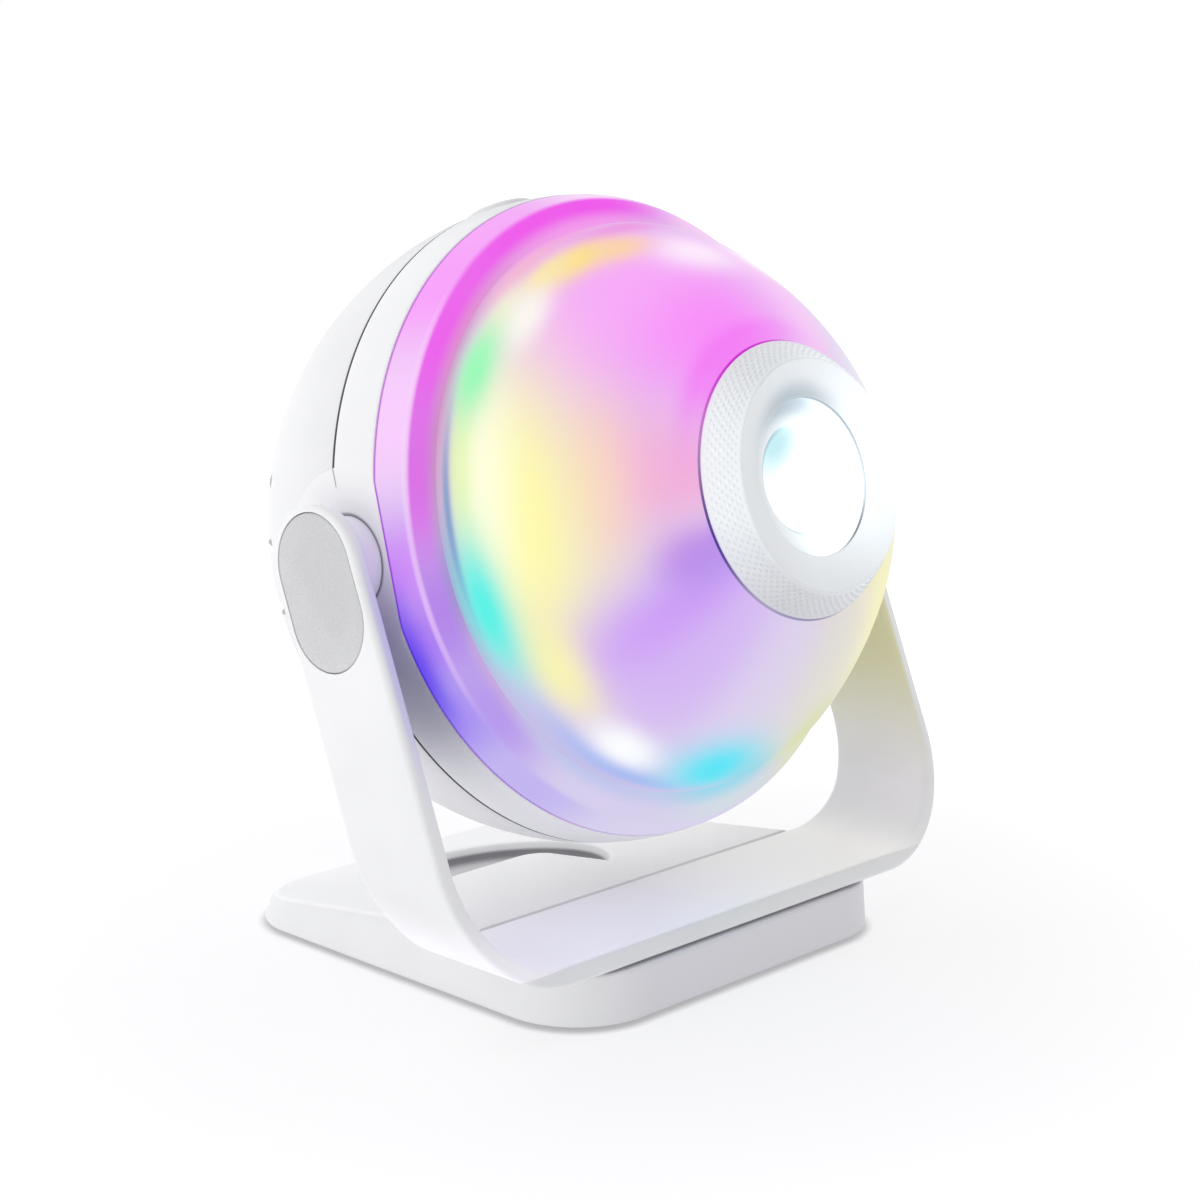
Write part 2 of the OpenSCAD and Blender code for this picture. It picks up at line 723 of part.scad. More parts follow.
module heat_sink() {
    color("silver") in_head() difference() {
        union() {
            translate([-sink_w / 2, -sink_w / 2, frame_z - sink_t]) cube([sink_w, sink_w, sink_t]);
            for (i = [-4:4]) translate([i * fin_pitch - fin_t / 2, 3 - sink_w / 2, frame_z - sink_t - fin_h])
                cube([fin_t, sink_w - 6, fin_h + e]);
        }
        for (x = [-1, 1], y = [-1, 1]) translate([x * sink_screw, y * sink_screw, 0]) {
            rod(1.2, -big, 10);
            rod(2.6, -big, frame_z - sink_t);
        }
    }
}
module projector_led() {
    color("gold") in_head() {
        translate([0, 0, frame_z]) cylinder(r = 10, h = 1.6);
        translate([-3.5, -3.5, frame_z + 1.6 - e]) cube([7, 7, 1]);
    }
}
tube_r = 14.5;
module condenser_tube() {
    color("dimgray") in_head() {
        difference() {
            union() {
                rod(tube_r, frame_z, 24);
                rod(19.5, frame_z, deck_z);
            }
            rod(10.6, 0, 12);
            rod(tube_r - 2.5, 11, 30);
        }
        tube(tube_r - 2.5, tube_r - 4, 20.2, 22);
    }
}
module condenser_lens() {
    color("lightcyan") in_head() intersection() {
        rod(tube_r - 2.55, 12, 20);
        translate([0, 0, 20.15 - 16]) sphere(16, $fn = 96);
    }
}
module barrel() {
    color("dimgray") in_head() difference() {
        union() {
            tube(barrel_r, bore_r, bridge_z, barrel_end);
            tube(rib_r, bore_r, rib_z, rib_z + rib_t);
            difference() {
                intersection() {
                    rod(led_in, bridge_z, bridge_z + bridge_t);
                    translate([-big / 2, -17, 0]) cube([big, 35, 60]);
                }
                rod(bore_r, 0, 60);
            }
            for (p = legs) translate([p[0], p[1], 0]) rod(leg_r, deck_z, bridge_z + 1);
        }
        for (p = legs) translate([p[0], p[1], 0]) rod(1, 0, frame_z + screw_len + 2.5);
        // Slot that guides the drive pin
        translate([-pin_r - 0.05, 0, pin_z - focus_travel / 2 - pin_r - 0.6]) cube([2 * pin_r + 0.1, 40, 40]);
    }
}
module wheel_motor() {
    color("silver") in_head() translate([0, -wheel_y, 0]) difference() {
        union() {
            rod(motor_r, deck_z, 22);
            rod(motor_r / 2, 22 - e, 24);
        }
        rod(shaft_r + shaft_fit, 19.5, 30);
    }
}
module motor_shaft() {
    color("silver") in_head() translate([0, -wheel_y, 0]) rod(shaft_r, 20, wheel_z + wheel_t + 2.5);
}
module wheel_hub() {
    color("ivory") in_head() translate([0, -wheel_y, 0]) difference() {
        union() {
            rod(8, wheel_z - 1.6, wheel_z);
            rod(4, wheel_z - 2, wheel_z + wheel_t);
            rod(8, wheel_z + wheel_t, wheel_z + wheel_t + 1.4);
        }
        rod(shaft_r, 0, 60);
    }
}
module star_disc() {
    color("midnightblue") in_head() translate([0, -wheel_y, 0]) tube(wheel_r, 4, wheel_z, wheel_z + wheel_t);
}

// Boards

module main_board() {
    color("darkgreen") in_head() difference() {
        rod(board_r, main_z, main_z + board_t);
        for (x = [-1, 1], y = [-1, 1]) translate([x * post_xy, y * post_xy, 0]) rod(1.2, main_z - 1, 0);
    }
}
module board_parts() {
    color("black") in_head() {
        translate([-22, 6, main_z - 2.2]) cube([14, 14, 2.2]);
        translate([6, 10, main_z - 1.6]) cube([8, 6, 1.6]);
        translate([-30, -14, main_z - 3.4]) cube([8, 8, 3.4]);
        for (x = [8, 18]) translate([x, -14, main_z - 8]) cylinder(r = 3.2, h = 8);
        translate([-9, -34, main_z - 6]) cube([18, 5.5, 6]);
        translate([-10, 34, main_z - 6]) cube([20, 5.5, 6]);
        translate([22, 2, main_z - 2]) cube([6, 10, 2]);
    }
}
module inlet_board() {
    color("darkgreen") in_head() translate([-9, -inlet_y - 3, inner_z(9, inlet_y + 3) + 0.4]) cube([18, 1.2, 18]);
}
module usb_inlet() {
    color("silver") in_head() translate([0, -inlet_y, inlet_z + 1.2]) {
        difference() {
            linear_extrude(8) inlet_outline(0);
            translate([0, 0, -e]) linear_extrude(6.5) inlet_outline(-0.35);
        }
        translate([-3.3, -0.35, 0.6]) cube([6.6, 0.7, 6.5]);
        translate([-4, -1.8, 4]) cube([8, 0.8, 4]);
    }
}
module button_board() {
    color("darkgreen") in_head() button_axis() difference() {
        translate([-11, -10, head_r - 12.2]) cube([22, 24, 1.2]);
        for (x = [-1, 1]) translate([x * 8, 11, 0]) rod(1.2, 0, big);
    }
}
module tact_switch() {
    color("black") in_head() button_axis() {
        translate([-3, -3, head_r - 11]) cube([6, 6, 3.4]);
        rod(1.7, head_r - 7.6 - e, head_r - 6.2 - button_travel);
    }
}

// Moving parts of the focus and the button

module focus_ring() {
    dish = curve([focus_front_r - 0.8, focus_front_z], [focus_front_r - 3.4, focus_front_z - 0.9],
        [eye_r + 2.4, eye_z], [eye_r, eye_z], 9);
    color("gainsboro") in_head() difference() {
        union() {
            rotate_extrude($fn = 144) polygon(concat([[bore_r, focus_z], [focus_r, focus_z], [focus_r, focus_z + 0.5],
                [focus_front_r + 0.3, focus_front_z - 0.4], [focus_front_r, focus_front_z - 0.08]],
                dish, [[eye_r, focus_z]]));
            rod(sleeve_r, rib_z - 3, focus_z + 0.5);
        }
        rod(eye_r, 0, 90);
        rod(barrel_r + focus_fit, rib_z - 4, barrel_end + 0.3);
        rod(rib_r + 0.2, rib_z - 0.3, rib_z + rib_t + 0.3);
        // Helical groove that carries the drive pin
        h = focus_travel + 2 * pin_r + 0.4;
        w = (2 * pin_r + 0.4) * focus_turn / focus_travel;
        turn = focus_turn * h / focus_travel;
        translate([0, 0, pin_z - h / 2]) rotate(90 - turn / 2)
            linear_extrude(h, twist = -turn, slices = 12) difference() {
                intersection() {
                    circle(rib_r + 1.1, $fn = 48);
                    polygon([[0, 0], for (i = [-2:2]) 60 * [cos(i * w / 4), sin(i * w / 4)]]);
                }
                circle(barrel_r - 1, $fn = 16);
            }
    }
}
module lens_carrier() {
    color("dimgray") in_head() difference() {
        rod(bore_r - carrier_fit, carrier_front - carrier_len, carrier_front);
        rod(aperture_r, carrier_front - 1.2, 90);
        rod(lens_r + 0.05, 0, seat_z);
        translate([0, 0, pin_z]) rotate([-90, 0, 0]) rod(pin_r, lens_r + 3, 40);
    }
}
// Height of the lens's spherical faces over their centres, at radius r
function lens_h(r) = sqrt(lens_curve * lens_curve - r * r);
module objective_lens() {
    color("lightcyan") in_head() intersection() {
        rod(lens_r, 30, 90);
        translate([0, 0, seat_z - 0.02 - lens_h(aperture_r)]) sphere(lens_curve, $fn = 120);
        translate([0, 0, seat_z - lens_edge + lens_h(lens_r)]) sphere(lens_curve, $fn = 120);
    }
}
module lens_retainer() {
    z = seat_z - lens_edge + lens_h(lens_r) - lens_h(lens_r - 1.6) - 0.05;
    color("dimgray") in_head() tube(lens_r + 0.05, lens_r - 1.6, z - 3, z);
}
module drive_pin() {
    color("silver") in_head() translate([0, 0, pin_z]) rotate([-90, 0, 0]) rod(pin_r, lens_r + 3, rib_r + 0.8);
}
module power_button() {
    color("white") in_head() button_axis() difference() {
        union() {
            intersection() {
                rod(button_r, head_r - 4.4, big);
                translate([0, 0, button_top - 120]) sphere(120, $fn = 120);
            }
            rod(button_r + 0.9, head_r - 4.8, head_r - 3.8);
            rod(1.6, head_r - 6.1, head_r - 4);
        }
        tube(button_r - 1.6, 3, head_r - 6, head_r - 2);
    }
}

base_shell();
base_cover();
foot_pad();
ballast();
cover_screws();
yoke();
bar_screws();
cap_left();
cap_right();
bush_left();
bush_right();
spring_washers();
rear_housing();
front_band();
hub_left();
hub_right();
hub_nuts();
pivot_screws();
housing_screws();
inner_frame();
small_screws();
led_board();
ring_leds();
dome_leds();
ring_diffuser();
dome_diffuser();
heat_sink();
projector_led();
condenser_tube();
condenser_lens();
barrel();
wheel_motor();
main_board();
board_parts();
inlet_board();
usb_inlet();
button_board();
tact_switch();
motor_shaft();
wheel_hub();
star_disc();
focus_ring();
lens_carrier();
objective_lens();
lens_retainer();
drive_pin();
power_button();
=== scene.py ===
"""A star projector lamp: a round head with a lit ring and dome, in a yoke on a wedge-shaped base."""

import math

import bmesh
import bpy
import numpy as np
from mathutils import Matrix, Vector


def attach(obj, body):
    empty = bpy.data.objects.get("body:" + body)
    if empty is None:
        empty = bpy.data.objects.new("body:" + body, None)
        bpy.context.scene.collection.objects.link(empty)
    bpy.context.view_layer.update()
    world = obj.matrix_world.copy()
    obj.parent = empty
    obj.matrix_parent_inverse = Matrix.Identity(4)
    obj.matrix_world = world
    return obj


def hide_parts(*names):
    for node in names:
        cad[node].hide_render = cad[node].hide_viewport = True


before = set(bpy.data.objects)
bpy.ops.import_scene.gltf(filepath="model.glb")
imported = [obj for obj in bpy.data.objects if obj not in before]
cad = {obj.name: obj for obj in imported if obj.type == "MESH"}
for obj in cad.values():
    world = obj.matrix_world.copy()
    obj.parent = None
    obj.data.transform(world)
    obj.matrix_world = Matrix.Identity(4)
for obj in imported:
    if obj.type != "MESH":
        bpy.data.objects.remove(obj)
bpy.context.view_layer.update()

# ---------------------------------------------------------------------------
# Camera: a long lens, a little above the lamp's middle, at its front left.

camera = bpy.data.objects.new("camera", bpy.data.cameras.new("camera"))
bpy.context.collection.objects.link(camera)
bpy.context.scene.camera = camera
camera.data.sensor_width, camera.data.lens = 36.0, 73.72
camera.data.clip_start, camera.data.clip_end = 0.01, 20.0
looking_back = Vector((-0.69968, -0.68448, 0.20484))
camera.location = Vector((0.006248, -0.006387, 0.081667)) + looking_back * 0.597336
camera.rotation_euler = (-looking_back).to_track_quat("-Z", "Y").to_euler()

# ---------------------------------------------------------------------------
# Studio: a white floor that runs out into a white room, and wide soft lights
# from behind, from above and from both sides.

BLACK, WHITE = (0.0, 0.0, 0.0, 1.0), (1.0, 1.0, 1.0, 1.0)


def put(tree, kind, *wires, **settings):
    """Adds a node; wires are its inputs in order, each a socket, a plain value or None to leave it."""
    made = tree.nodes.new(kind)
    for key, value in settings.items():
        setattr(made, key, value)
    for entry, wire in zip(made.inputs, wires):
        if isinstance(wire, bpy.types.NodeSocket):
            tree.links.new(wire, entry)
        elif wire is not None:
            entry.default_value = wire
    return made


def sums(tree, operation, *wires):
    """One Math node and its result."""
    return put(tree, "ShaderNodeMath", *wires, operation=operation).outputs[0]


def vector(tree, operation, *wires):
    """One Vector Math node and its result, which is a number for a length or a distance."""
    result = "Value" if operation in ("LENGTH", "DISTANCE") else "Vector"
    return put(tree, "ShaderNodeVectorMath", *wires, operation=operation).outputs[result]


def ramp(tree, value, low, high, at_low=0.0, at_high=1.0):
    """A value carried smoothly from at_low to at_high as it goes from low to high."""
    made = put(tree, "ShaderNodeMapRange", value, low, high, at_low, at_high, interpolation_type="SMOOTHSTEP")
    return made.outputs[0]


def finish(name, **values):
    """A new material: its node tree, its Principled shader with the given plain values, and its Object coordinates."""
    made = bpy.data.materials.new(name)
    made.use_nodes = True
    tree = made.node_tree
    shader = tree.nodes["Principled BSDF"]
    for key, value in values.items():
        shader.inputs[key.replace("_", " ")].default_value = value
    return made, tree, shader, tree.nodes.new("ShaderNodeTexCoord").outputs["Object"]


scene = bpy.context.scene
scene.view_settings.view_transform = "Standard"
scene.world = bpy.data.worlds.new("white room")
scene.world.use_nodes = True
room = scene.world.node_tree
room_light = room.nodes["Background"]
room_light.inputs["Color"].default_value = (0.97, 0.98, 1.0, 1.0)
room_light.inputs["Strength"].default_value = 0.51
seen_room = put(room, "ShaderNodeBackground", WHITE, 1.0)
seen = put(room, "ShaderNodeLightPath").outputs["Is Camera Ray"]
room_mix = put(room, "ShaderNodeMixShader", seen, room_light.outputs[0], seen_room.outputs[0])
room.links.new(room_mix.outputs[0], room.nodes["World Output"].inputs["Surface"])

# A light's name, its place and its aim in metres, its width in metres and its power in watts
LIGHTS = [
    ("light from behind", (0.1, 1.8, 0.95), (0, 0, 0.03), 2.0, 9.0),
    ("light from above", (-0.25, 0.1, 1.4), (0, 0, 0.05), 1.6, 6.0),
    ("light from the left", (-1.6, 0.25, 0.55), (0, 0, 0.08), 1.8, 7.4),
    ("light from the right", (1.6, 0.25, 0.6), (0, 0, 0.03), 2.0, 8.0),
]
for name, at, aim, size, watts in LIGHTS:
    light = bpy.data.objects.new(name, bpy.data.lights.new(name, "AREA"))
    light.data.size, light.data.energy = size, watts
    light.location = at
    light.rotation_euler = (Vector(aim) - Vector(at)).to_track_quat("-Z", "Y").to_euler()
    bpy.context.collection.objects.link(light)

FLOOR_HALF = 9
floor_mesh = bpy.data.meshes.new("floor")
floor_corners = [(x * FLOOR_HALF, y * FLOOR_HALF, 0) for x, y in ((-1, -1), (1, -1), (1, 1), (-1, 1))]
floor_mesh.from_pydata(floor_corners, [], [(0, 1, 2, 3)])
floor = bpy.data.objects.new("floor", floor_mesh)
bpy.context.collection.objects.link(floor)
floor_paint, tree, shader, here = finish(
    "white floor", Base_Color=(0.32, 0.32, 0.33, 1.0), Roughness=0.7, Specular_IOR_Level=0.1, Emission_Strength=1.0
)
# The floor glows white far off; its lesser glow near the lamp, and least under the base, a rounded rectangle, is a
# painted shadow
beside = vector(tree, "SUBTRACT", vector(tree, "ABSOLUTE", here), (0.0365, 0.041, 1.0))
beside = vector(tree, "LENGTH", vector(tree, "MAXIMUM", beside, (0.0, 0.0, 0.0)))
away = vector(tree, "LENGTH", here)
floor_glow_and_painted_shadow = sums(tree, "ADD", ramp(tree, beside, 0.0190, 0.0224, 0.34, 0.67), ramp(tree, away, 0.09, 0.42, 0.0, 0.37))
tree.links.new(floor_glow_and_painted_shadow, shader.inputs["Emission Color"])
floor_mesh.materials.append(floor_paint)

# ---------------------------------------------------------------------------
# Base shell: a low wedge of satin white plastic, moulded in one piece. Its top
# slopes up to the front, where the yoke's bar lies in a notch, and has a
# shallow finger scoop behind a rounded tongue.

BASE_W, BASE_D, BASE_R = 113.0, 122.0, 20.0
BASE_FOOT, BASE_REAR, BASE_SLOPE = 1.0, 5.1, math.radians(7.45)
BASE_EDGE, BASE_DRAFT, BASE_FOOT_EDGE = 3.0, 1.2, 0.5
BAR_FRONT, BAR_REAR, BAR_UNDER = -59.6, -26.8, 13.3
FRONT_GAP, FRONT_EDGE = 0.65, 0.7
SLOPE_END, FRONT_END = BAR_REAR + 0.4, BAR_REAR + 0.47


def tone(code):
    """The scene's linear colour of a written colour such as E8E8EA."""
    parts = [int(code[i : i + 2], 16) / 255 for i in (0, 2, 4)]
    return tuple(p / 12.92 if p < 0.04045 else ((p + 0.055) / 1.055) ** 2.4 for p in parts) + (1.0,)


def blended(tree, amount, under, over, how="MIX"):
    """One colour laid over another by an amount."""
    made = tree.nodes.new("ShaderNodeMix")
    made.data_type, made.blend_type = "RGBA", how
    for entry, wire in ((made.inputs[0], amount), (made.inputs[6], under), (made.inputs[7], over)):
        if isinstance(wire, bpy.types.NodeSocket):
            tree.links.new(wire, entry)
        else:
            entry.default_value = wire
    return made.outputs[2]


def product(tree, first, *others):
    """Masks and plain numbers multiplied with each other."""
    for other in others:
        first = sums(tree, "MULTIPLY", first, other)
    return first


def off(tree, value, middle):
    """How far a value lies from a middle, on either side."""
    return sums(tree, "ABSOLUTE", sums(tree, "SUBTRACT", value, middle))


def xyz(tree, place):
    """The x, y and z of a place."""
    return put(tree, "ShaderNodeSeparateXYZ", place).outputs[:3]


def noise(tree, here, scale, detail=2.0, rough=0.5):
    """Cloudy noise over a place."""
    return put(tree, "ShaderNodeTexNoise", here, None, scale, detail, rough).outputs[0]


def feed(tree, shader, **wires):
    """Links wires to the shader's inputs of those names."""
    for key, wire in wires.items():
        tree.links.new(wire, shader.inputs[key.replace("_", " ")])


def relief(tree, shader, height, strength, distance):
    """A bump of the surface from a height."""
    bump = put(tree, "ShaderNodeBump", strength, distance)
    tree.links.new(height, bump.inputs["Height"])
    feed(tree, shader, Normal=bump.outputs[0])


def shine(tree, shader, amount, colour):
    """Light of a colour that the surface gives off by an amount."""
    feed(tree, shader, Emission_Color=blended(tree, amount, BLACK, colour))
    shader.inputs["Emission Strength"].default_value = 1.0


def shell_group(name, entries, results):
    """An empty shader node group with the named inputs and outputs."""
    group = bpy.data.node_groups.new(name, "ShaderNodeTree")
    for label, kind, value in entries:
        entry = group.interface.new_socket(name=label, in_out="INPUT", socket_type=kind)
        if value is not None:
            entry.default_value = value
    for label, kind in results:
        group.interface.new_socket(name=label, in_out="OUTPUT", socket_type=kind)
    return group, group.nodes.new("NodeGroupInput"), group.nodes.new("NodeGroupOutput")


# Moulded grain: a fine spark-eroded texture, with a faint cloudiness of tone and gloss
grain_group, grain_in, grain_out = shell_group(
    "moulded grain",
    [("Position", "NodeSocketVector", None), ("Grain", "NodeSocketFloat", 2600.0), ("Cloud", "NodeSocketFloat", 38.0)],
    [("Height", "NodeSocketFloat"), ("Tone", "NodeSocketFloat")],
)
spot, grain_size, cloud_size = grain_in.outputs[:3]
pits = put(grain_group, "ShaderNodeTexVoronoi", spot, None, grain_size).outputs[0]
grain_height = sums(grain_group, "MULTIPLY_ADD", pits, 0.35, noise(grain_group, spot, grain_size, 3.0, 0.6))
grain_group.links.new(grain_height, grain_out.inputs[0])
grain_group.links.new(ramp(grain_group, noise(grain_group, spot, cloud_size), 0.35, 0.65), grain_out.inputs[1])


def plastic(name, dark, light, smooth, rough, grain=2600.0, bump=0.06, **values):
    """Moulded plastic: two close tones, two close roughnesses and a fine grain."""
    made, tree, shader, here = finish(name, **values)
    height, cloud = put(tree, "ShaderNodeGroup", here, grain, node_tree=grain_group).outputs[:2]
    feed(tree, shader, Base_Color=blended(tree, cloud, tone(dark), tone(light)))
    feed(tree, shader, Roughness=ramp(tree, cloud, 0.0, 1.0, smooth, rough))
    relief(tree, shader, height, bump, 0.0002)
    return made


def paints(material):
    """A material's tree, its shader, its base colour so far and its Object coordinates, to paint more shades on it."""
    tree = material.node_tree
    shader = tree.nodes["Principled BSDF"]
    colour = shader.inputs["Base Color"].links[0].from_socket
    return tree, shader, colour, tree.nodes["Texture Coordinate"].outputs["Object"]


def joined(name, *grids):
    """A mesh made of grids of points in mm. Neighbours in a grid are joined by quads, each row's last point to its
    first one too; a grid given as (points, True) also joins its last row to its first. Rows drawn to a point close."""
    points, quads, count = [], [], 0
    for grid in grids:
        grid, ring = grid if isinstance(grid, tuple) else (grid, False)
        m, n = grid.shape[:2]
        i = np.arange(m if ring else m - 1)[:, None]
        j = np.arange(n)[None, :]
        k, l = (i + 1) % m, (j + 1) % n
        quads.append(np.stack([i * n + j, i * n + l, k * n + l, k * n + j], -1).reshape(-1, 4) + count)
        points.append(grid.reshape(-1, 3) * 0.001)
        count += m * n
    mesh = bpy.data.meshes.new(name)
    mesh.from_pydata(np.concatenate(points), [], np.concatenate(quads))
    made = bpy.data.objects.new(name, mesh)
    bpy.context.collection.objects.link(made)
    work = bmesh.new()
    work.from_mesh(mesh)
    bmesh.ops.remove_doubles(work, verts=work.verts, dist=2e-7)
    bmesh.ops.dissolve_degenerate(work, edges=work.edges, dist=2e-7)
    bmesh.ops.recalc_face_normals(work, faces=work.faces)
    work.to_mesh(mesh)
    work.free()
    return made


def carve(piece, tool, how="DIFFERENCE"):
    """Takes the tool's volume from the piece, adds it, or keeps only the part inside the tool. The tool goes."""
    step = piece.modifiers.new("carve", "BOOLEAN")
    step.object, step.operation, step.solver = tool, how, "EXACT"
    seen = piece.evaluated_get(bpy.context.evaluated_depsgraph_get())
    mesh = bpy.data.meshes.new_from_object(seen)
    piece.modifiers.clear()
    piece.data = mesh
    bpy.data.objects.remove(tool)


def dress(piece, material, body, slot, *stands_for, angle=32.0):
    """Smooth shading up to an angle, the material and the piece's body, and hides the CAD nodes it stands for. The slot
    is not used.
    """
    piece.data.materials.clear()
    piece.data.materials.append(material)
    piece.data.polygons.foreach_set("use_smooth", np.ones(len(piece.data.polygons), bool))
    piece.data.set_sharp_from_angle(angle=math.radians(angle))
    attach(piece, body)
    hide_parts(*stands_for)


def block(low, high):
    """A plain box between two corners in mm, as a carving tool."""
    (x0, y0, z0), (x1, y1, z1) = low, high
    ring = np.array([[x0, y0], [x1, y0], [x1, y1], [x0, y1]])
    centre = ring * 0 + ring.mean(0)
    rows = [np.c_[outline, np.full(4, z)] for outline, z in ((centre, z0), (ring, z0), (ring, z1), (centre, z1))]
    return joined("tool", np.array(rows))


def base_top(y):
    """Height of the base's sloping top over the table."""
    return BASE_FOOT + BASE_REAR + (BASE_D / 2 - y) * math.tan(BASE_SLOPE)


def corner_outline(w, d, r, arc=36, side=44):
    """A rounded rectangle as points and outward normals: four arcs, and straight sides between them in even steps."""
    points, normals = [], []
    for k, (sx, sy) in enumerate(((1, 1), (-1, 1), (-1, -1), (1, -1))):
        t = (k + np.linspace(0, 1, arc)) * math.pi / 2
        n = np.c_[np.cos(t), np.sin(t)]
        points.append(np.array([sx * (w / 2 - r), sy * (d / 2 - r)]) + r * n)
        normals.append(n)
    spread_p, spread_n = [], []
    for k in range(4):
        a, b = points[k][-1], points[(k + 1) % 4][0]
        t = np.linspace(0, 1, side)[1:-1, None]
        spread_p += [points[k], a + (b - a) * t]
        spread_n += [normals[k], np.repeat(normals[k][-1:], len(t), 0)]
    return np.concatenate(spread_p), np.concatenate(spread_n)


def wedge_rows(top, edge, lowest=0.0):
    """The base as rows of its outline: in from the middle of the underside, up the leaning wall, round the top edge by
    a quarter circle of radius edge, and in over the top, whose height is top(y). The lean follows the sloping top."""
    outline, normal = corner_outline(BASE_W, BASE_D, BASE_R)

    def row(inset, height):
        xy = outline - normal * np.reshape(inset, (-1, 1))
        return np.c_[xy, np.broadcast_to(height, len(xy))]

    rows = [np.c_[outline * q, np.full(len(outline), BASE_FOOT)] for q in (0.0, 0.5, 0.95)]
    rows += [row(0.45, BASE_FOOT), row(0.13, BASE_FOOT + 0.13), row(0.0, BASE_FOOT + 0.45)]
    wall_top = np.maximum(base_top(outline[:, 1]), lowest) - BASE_EDGE
    wall = wall_top - BASE_FOOT - BASE_FOOT_EDGE
    rise = top(outline[:, 1]) - edge - BASE_FOOT - BASE_FOOT_EDGE
    for w in np.linspace(0, 1, 9)[1:]:
        z = BASE_FOOT + BASE_FOOT_EDGE + rise * w
        rows.append(row(BASE_DRAFT * (z - BASE_FOOT - BASE_FOOT_EDGE) / wall, z))
    start = BASE_DRAFT * rise / wall
    for a in np.linspace(0, math.pi / 2, 11)[1:]:
        inset = start + edge * (1 - math.cos(a))
        y = (outline - normal * inset[:, None])[:, 1]
        rows.append(row(inset, top(y) - edge * (1 - math.sin(a))))
    rim = rows[-1][:, :2]
    for q in np.linspace(1, 0, 42)[1:]:
        rows.append(np.c_[rim * q, top(rim[:, 1] * q)])
    return np.array(rows)


def arched(a, b, c, steps):
    """Points of a quadratic curve from a to c, drawn towards b."""
    t = np.linspace(0, 1, steps)[:, None]
    return (1 - t) ** 2 * a + 2 * t * (1 - t) * b + t**2 * c


base = joined("base", wedge_rows(base_top, BASE_EDGE))
carve(base, block((-90, -90, -5), (90, SLOPE_END, 60)))

# The scoop: a round bowl with a flat floor, a steep wall and a soft upper edge, all but the tongue
SCOOP = (-5.0, 17.0, base_top(17.0))
SCOOP_FLAT, SCOOP_HALF, SCOOP_DEPTH, SCOOP_WALL = 17.0, 26.0, 5.6, 2.4
TONGUE_HALF, TONGUE_END, TONGUE_R, TONGUE_ASIDE = 21.5, 19.5, 6, -7.5
floor_edge, wall_end = [SCOOP_FLAT, -SCOOP_DEPTH], [SCOOP_HALF, -SCOOP_WALL]
bowl_foot = arched(floor_edge, [SCOOP_HALF - 0.8, -SCOOP_DEPTH], wall_end, 10)
bowl_brim = arched(wall_end, [SCOOP_HALF + 0.4, -0.05], [SCOOP_HALF + 3.2, 0.02], 10)
bowl = np.concatenate([[[0.0, -SCOOP_DEPTH]], bowl_foot, bowl_brim[1:], [[SCOOP_HALF + 3.4, 6.0], [0.0, 6.0]]])
u = np.linspace(0, 2 * math.pi, 240, endpoint=False)[None, :]
r, h = bowl[:, :1], bowl[:, 1:]
lean_y, lean_z = math.sin(BASE_SLOPE), math.cos(BASE_SLOPE)
bowl_x = SCOOP[0] + r * np.cos(u)
bowl_y = SCOOP[1] + r * np.sin(u) * lean_z + h * lean_y
bowl_z = SCOOP[2] - r * np.sin(u) * lean_y + h * lean_z
scoop_tool = joined("tool", np.stack([bowl_x, bowl_y, bowl_z], -1))
a = np.linspace(0, math.pi / 2, 14)
tongue = np.concatenate(
    [
        [[TONGUE_HALF, -45.0]],
        np.c_[TONGUE_HALF - TONGUE_R + TONGUE_R * np.cos(a), TONGUE_END - TONGUE_R + TONGUE_R * np.sin(a)],
        np.c_[-TONGUE_HALF + TONGUE_R - TONGUE_R * np.sin(a), TONGUE_END - TONGUE_R + TONGUE_R * np.cos(a)],
        [[-TONGUE_HALF, -45.0]],
    ]
) + [SCOOP[0] + TONGUE_ASIDE, 0]
tongue_middle = tongue.mean(0)
tongue_rows = [
    np.c_[tongue_middle + (tongue - tongue_middle) * q, np.full(len(tongue), z)]
    for q, z in ((0, -8), (1, -8), (1, 40), (0, 40))
]
carve(scoop_tool, joined("tool", np.array(tongue_rows)))
carve(base, scoop_tool)

# The front piece, level under the yoke's bar and a shadow gap lower
front_top = BAR_UNDER - FRONT_GAP
base_front = joined("tool", wedge_rows(lambda y: np.full(np.shape(y), front_top), FRONT_EDGE, lowest=20.0))
carve(base_front, block((-90, -90, -5), (90, FRONT_END, 60)), "INTERSECT")
carve(base, base_front, "UNION")

white = plastic("white moulded plastic", "F0F0F1", "F3F3F4", 0.42, 0.48, Specular_IOR_Level=0.25)
tree, shader, colour, here = paints(white)
x, y, z = xyz(tree, here)
# The scoop's walls lie in shade, which fades out on its floor
top_at_middle = (BASE_FOOT + BASE_REAR + BASE_D / 2 * math.tan(BASE_SLOPE)) / 1000
sunk = sums(tree, "SUBTRACT", sums(tree, "MULTIPLY_ADD", y, -math.tan(BASE_SLOPE), top_at_middle), z)
scoop_shade = product(
    tree,
    ramp(tree, y, -0.0125, -0.0115),
    ramp(tree, y, 0.0475, 0.0465),
    ramp(tree, off(tree, x, -0.005), 0.0305, 0.0295),
    ramp(tree, sunk, 0.0016, 0.0026, 0.0, 0.85),
    ramp(tree, sunk, 0.0034, 0.0050, 1.0, 0.25),
)
front_shade = product(tree, ramp(tree, y, -0.0535, -0.0595), ramp(tree, x, -0.052, -0.030))
colour = blended(tree, front_shade, colour, tone("E4E3E8"))
feed(tree, shader, Base_Color=blended(tree, scoop_shade, colour, tone("6E6E74")))
# The head's own light, bounced about under it, brightens the base's top there
bounce = ramp(tree, vector(tree, "DISTANCE", here, (0.004, 0.010, 0.010)), 0.085, 0.010, 0.06, 0.18)
shine(tree, shader, product(tree, bounce, ramp(tree, sunk, 0.0008, 0.0003)), WHITE)
dress(base, white, "stand", "white_housing", "base_shell")

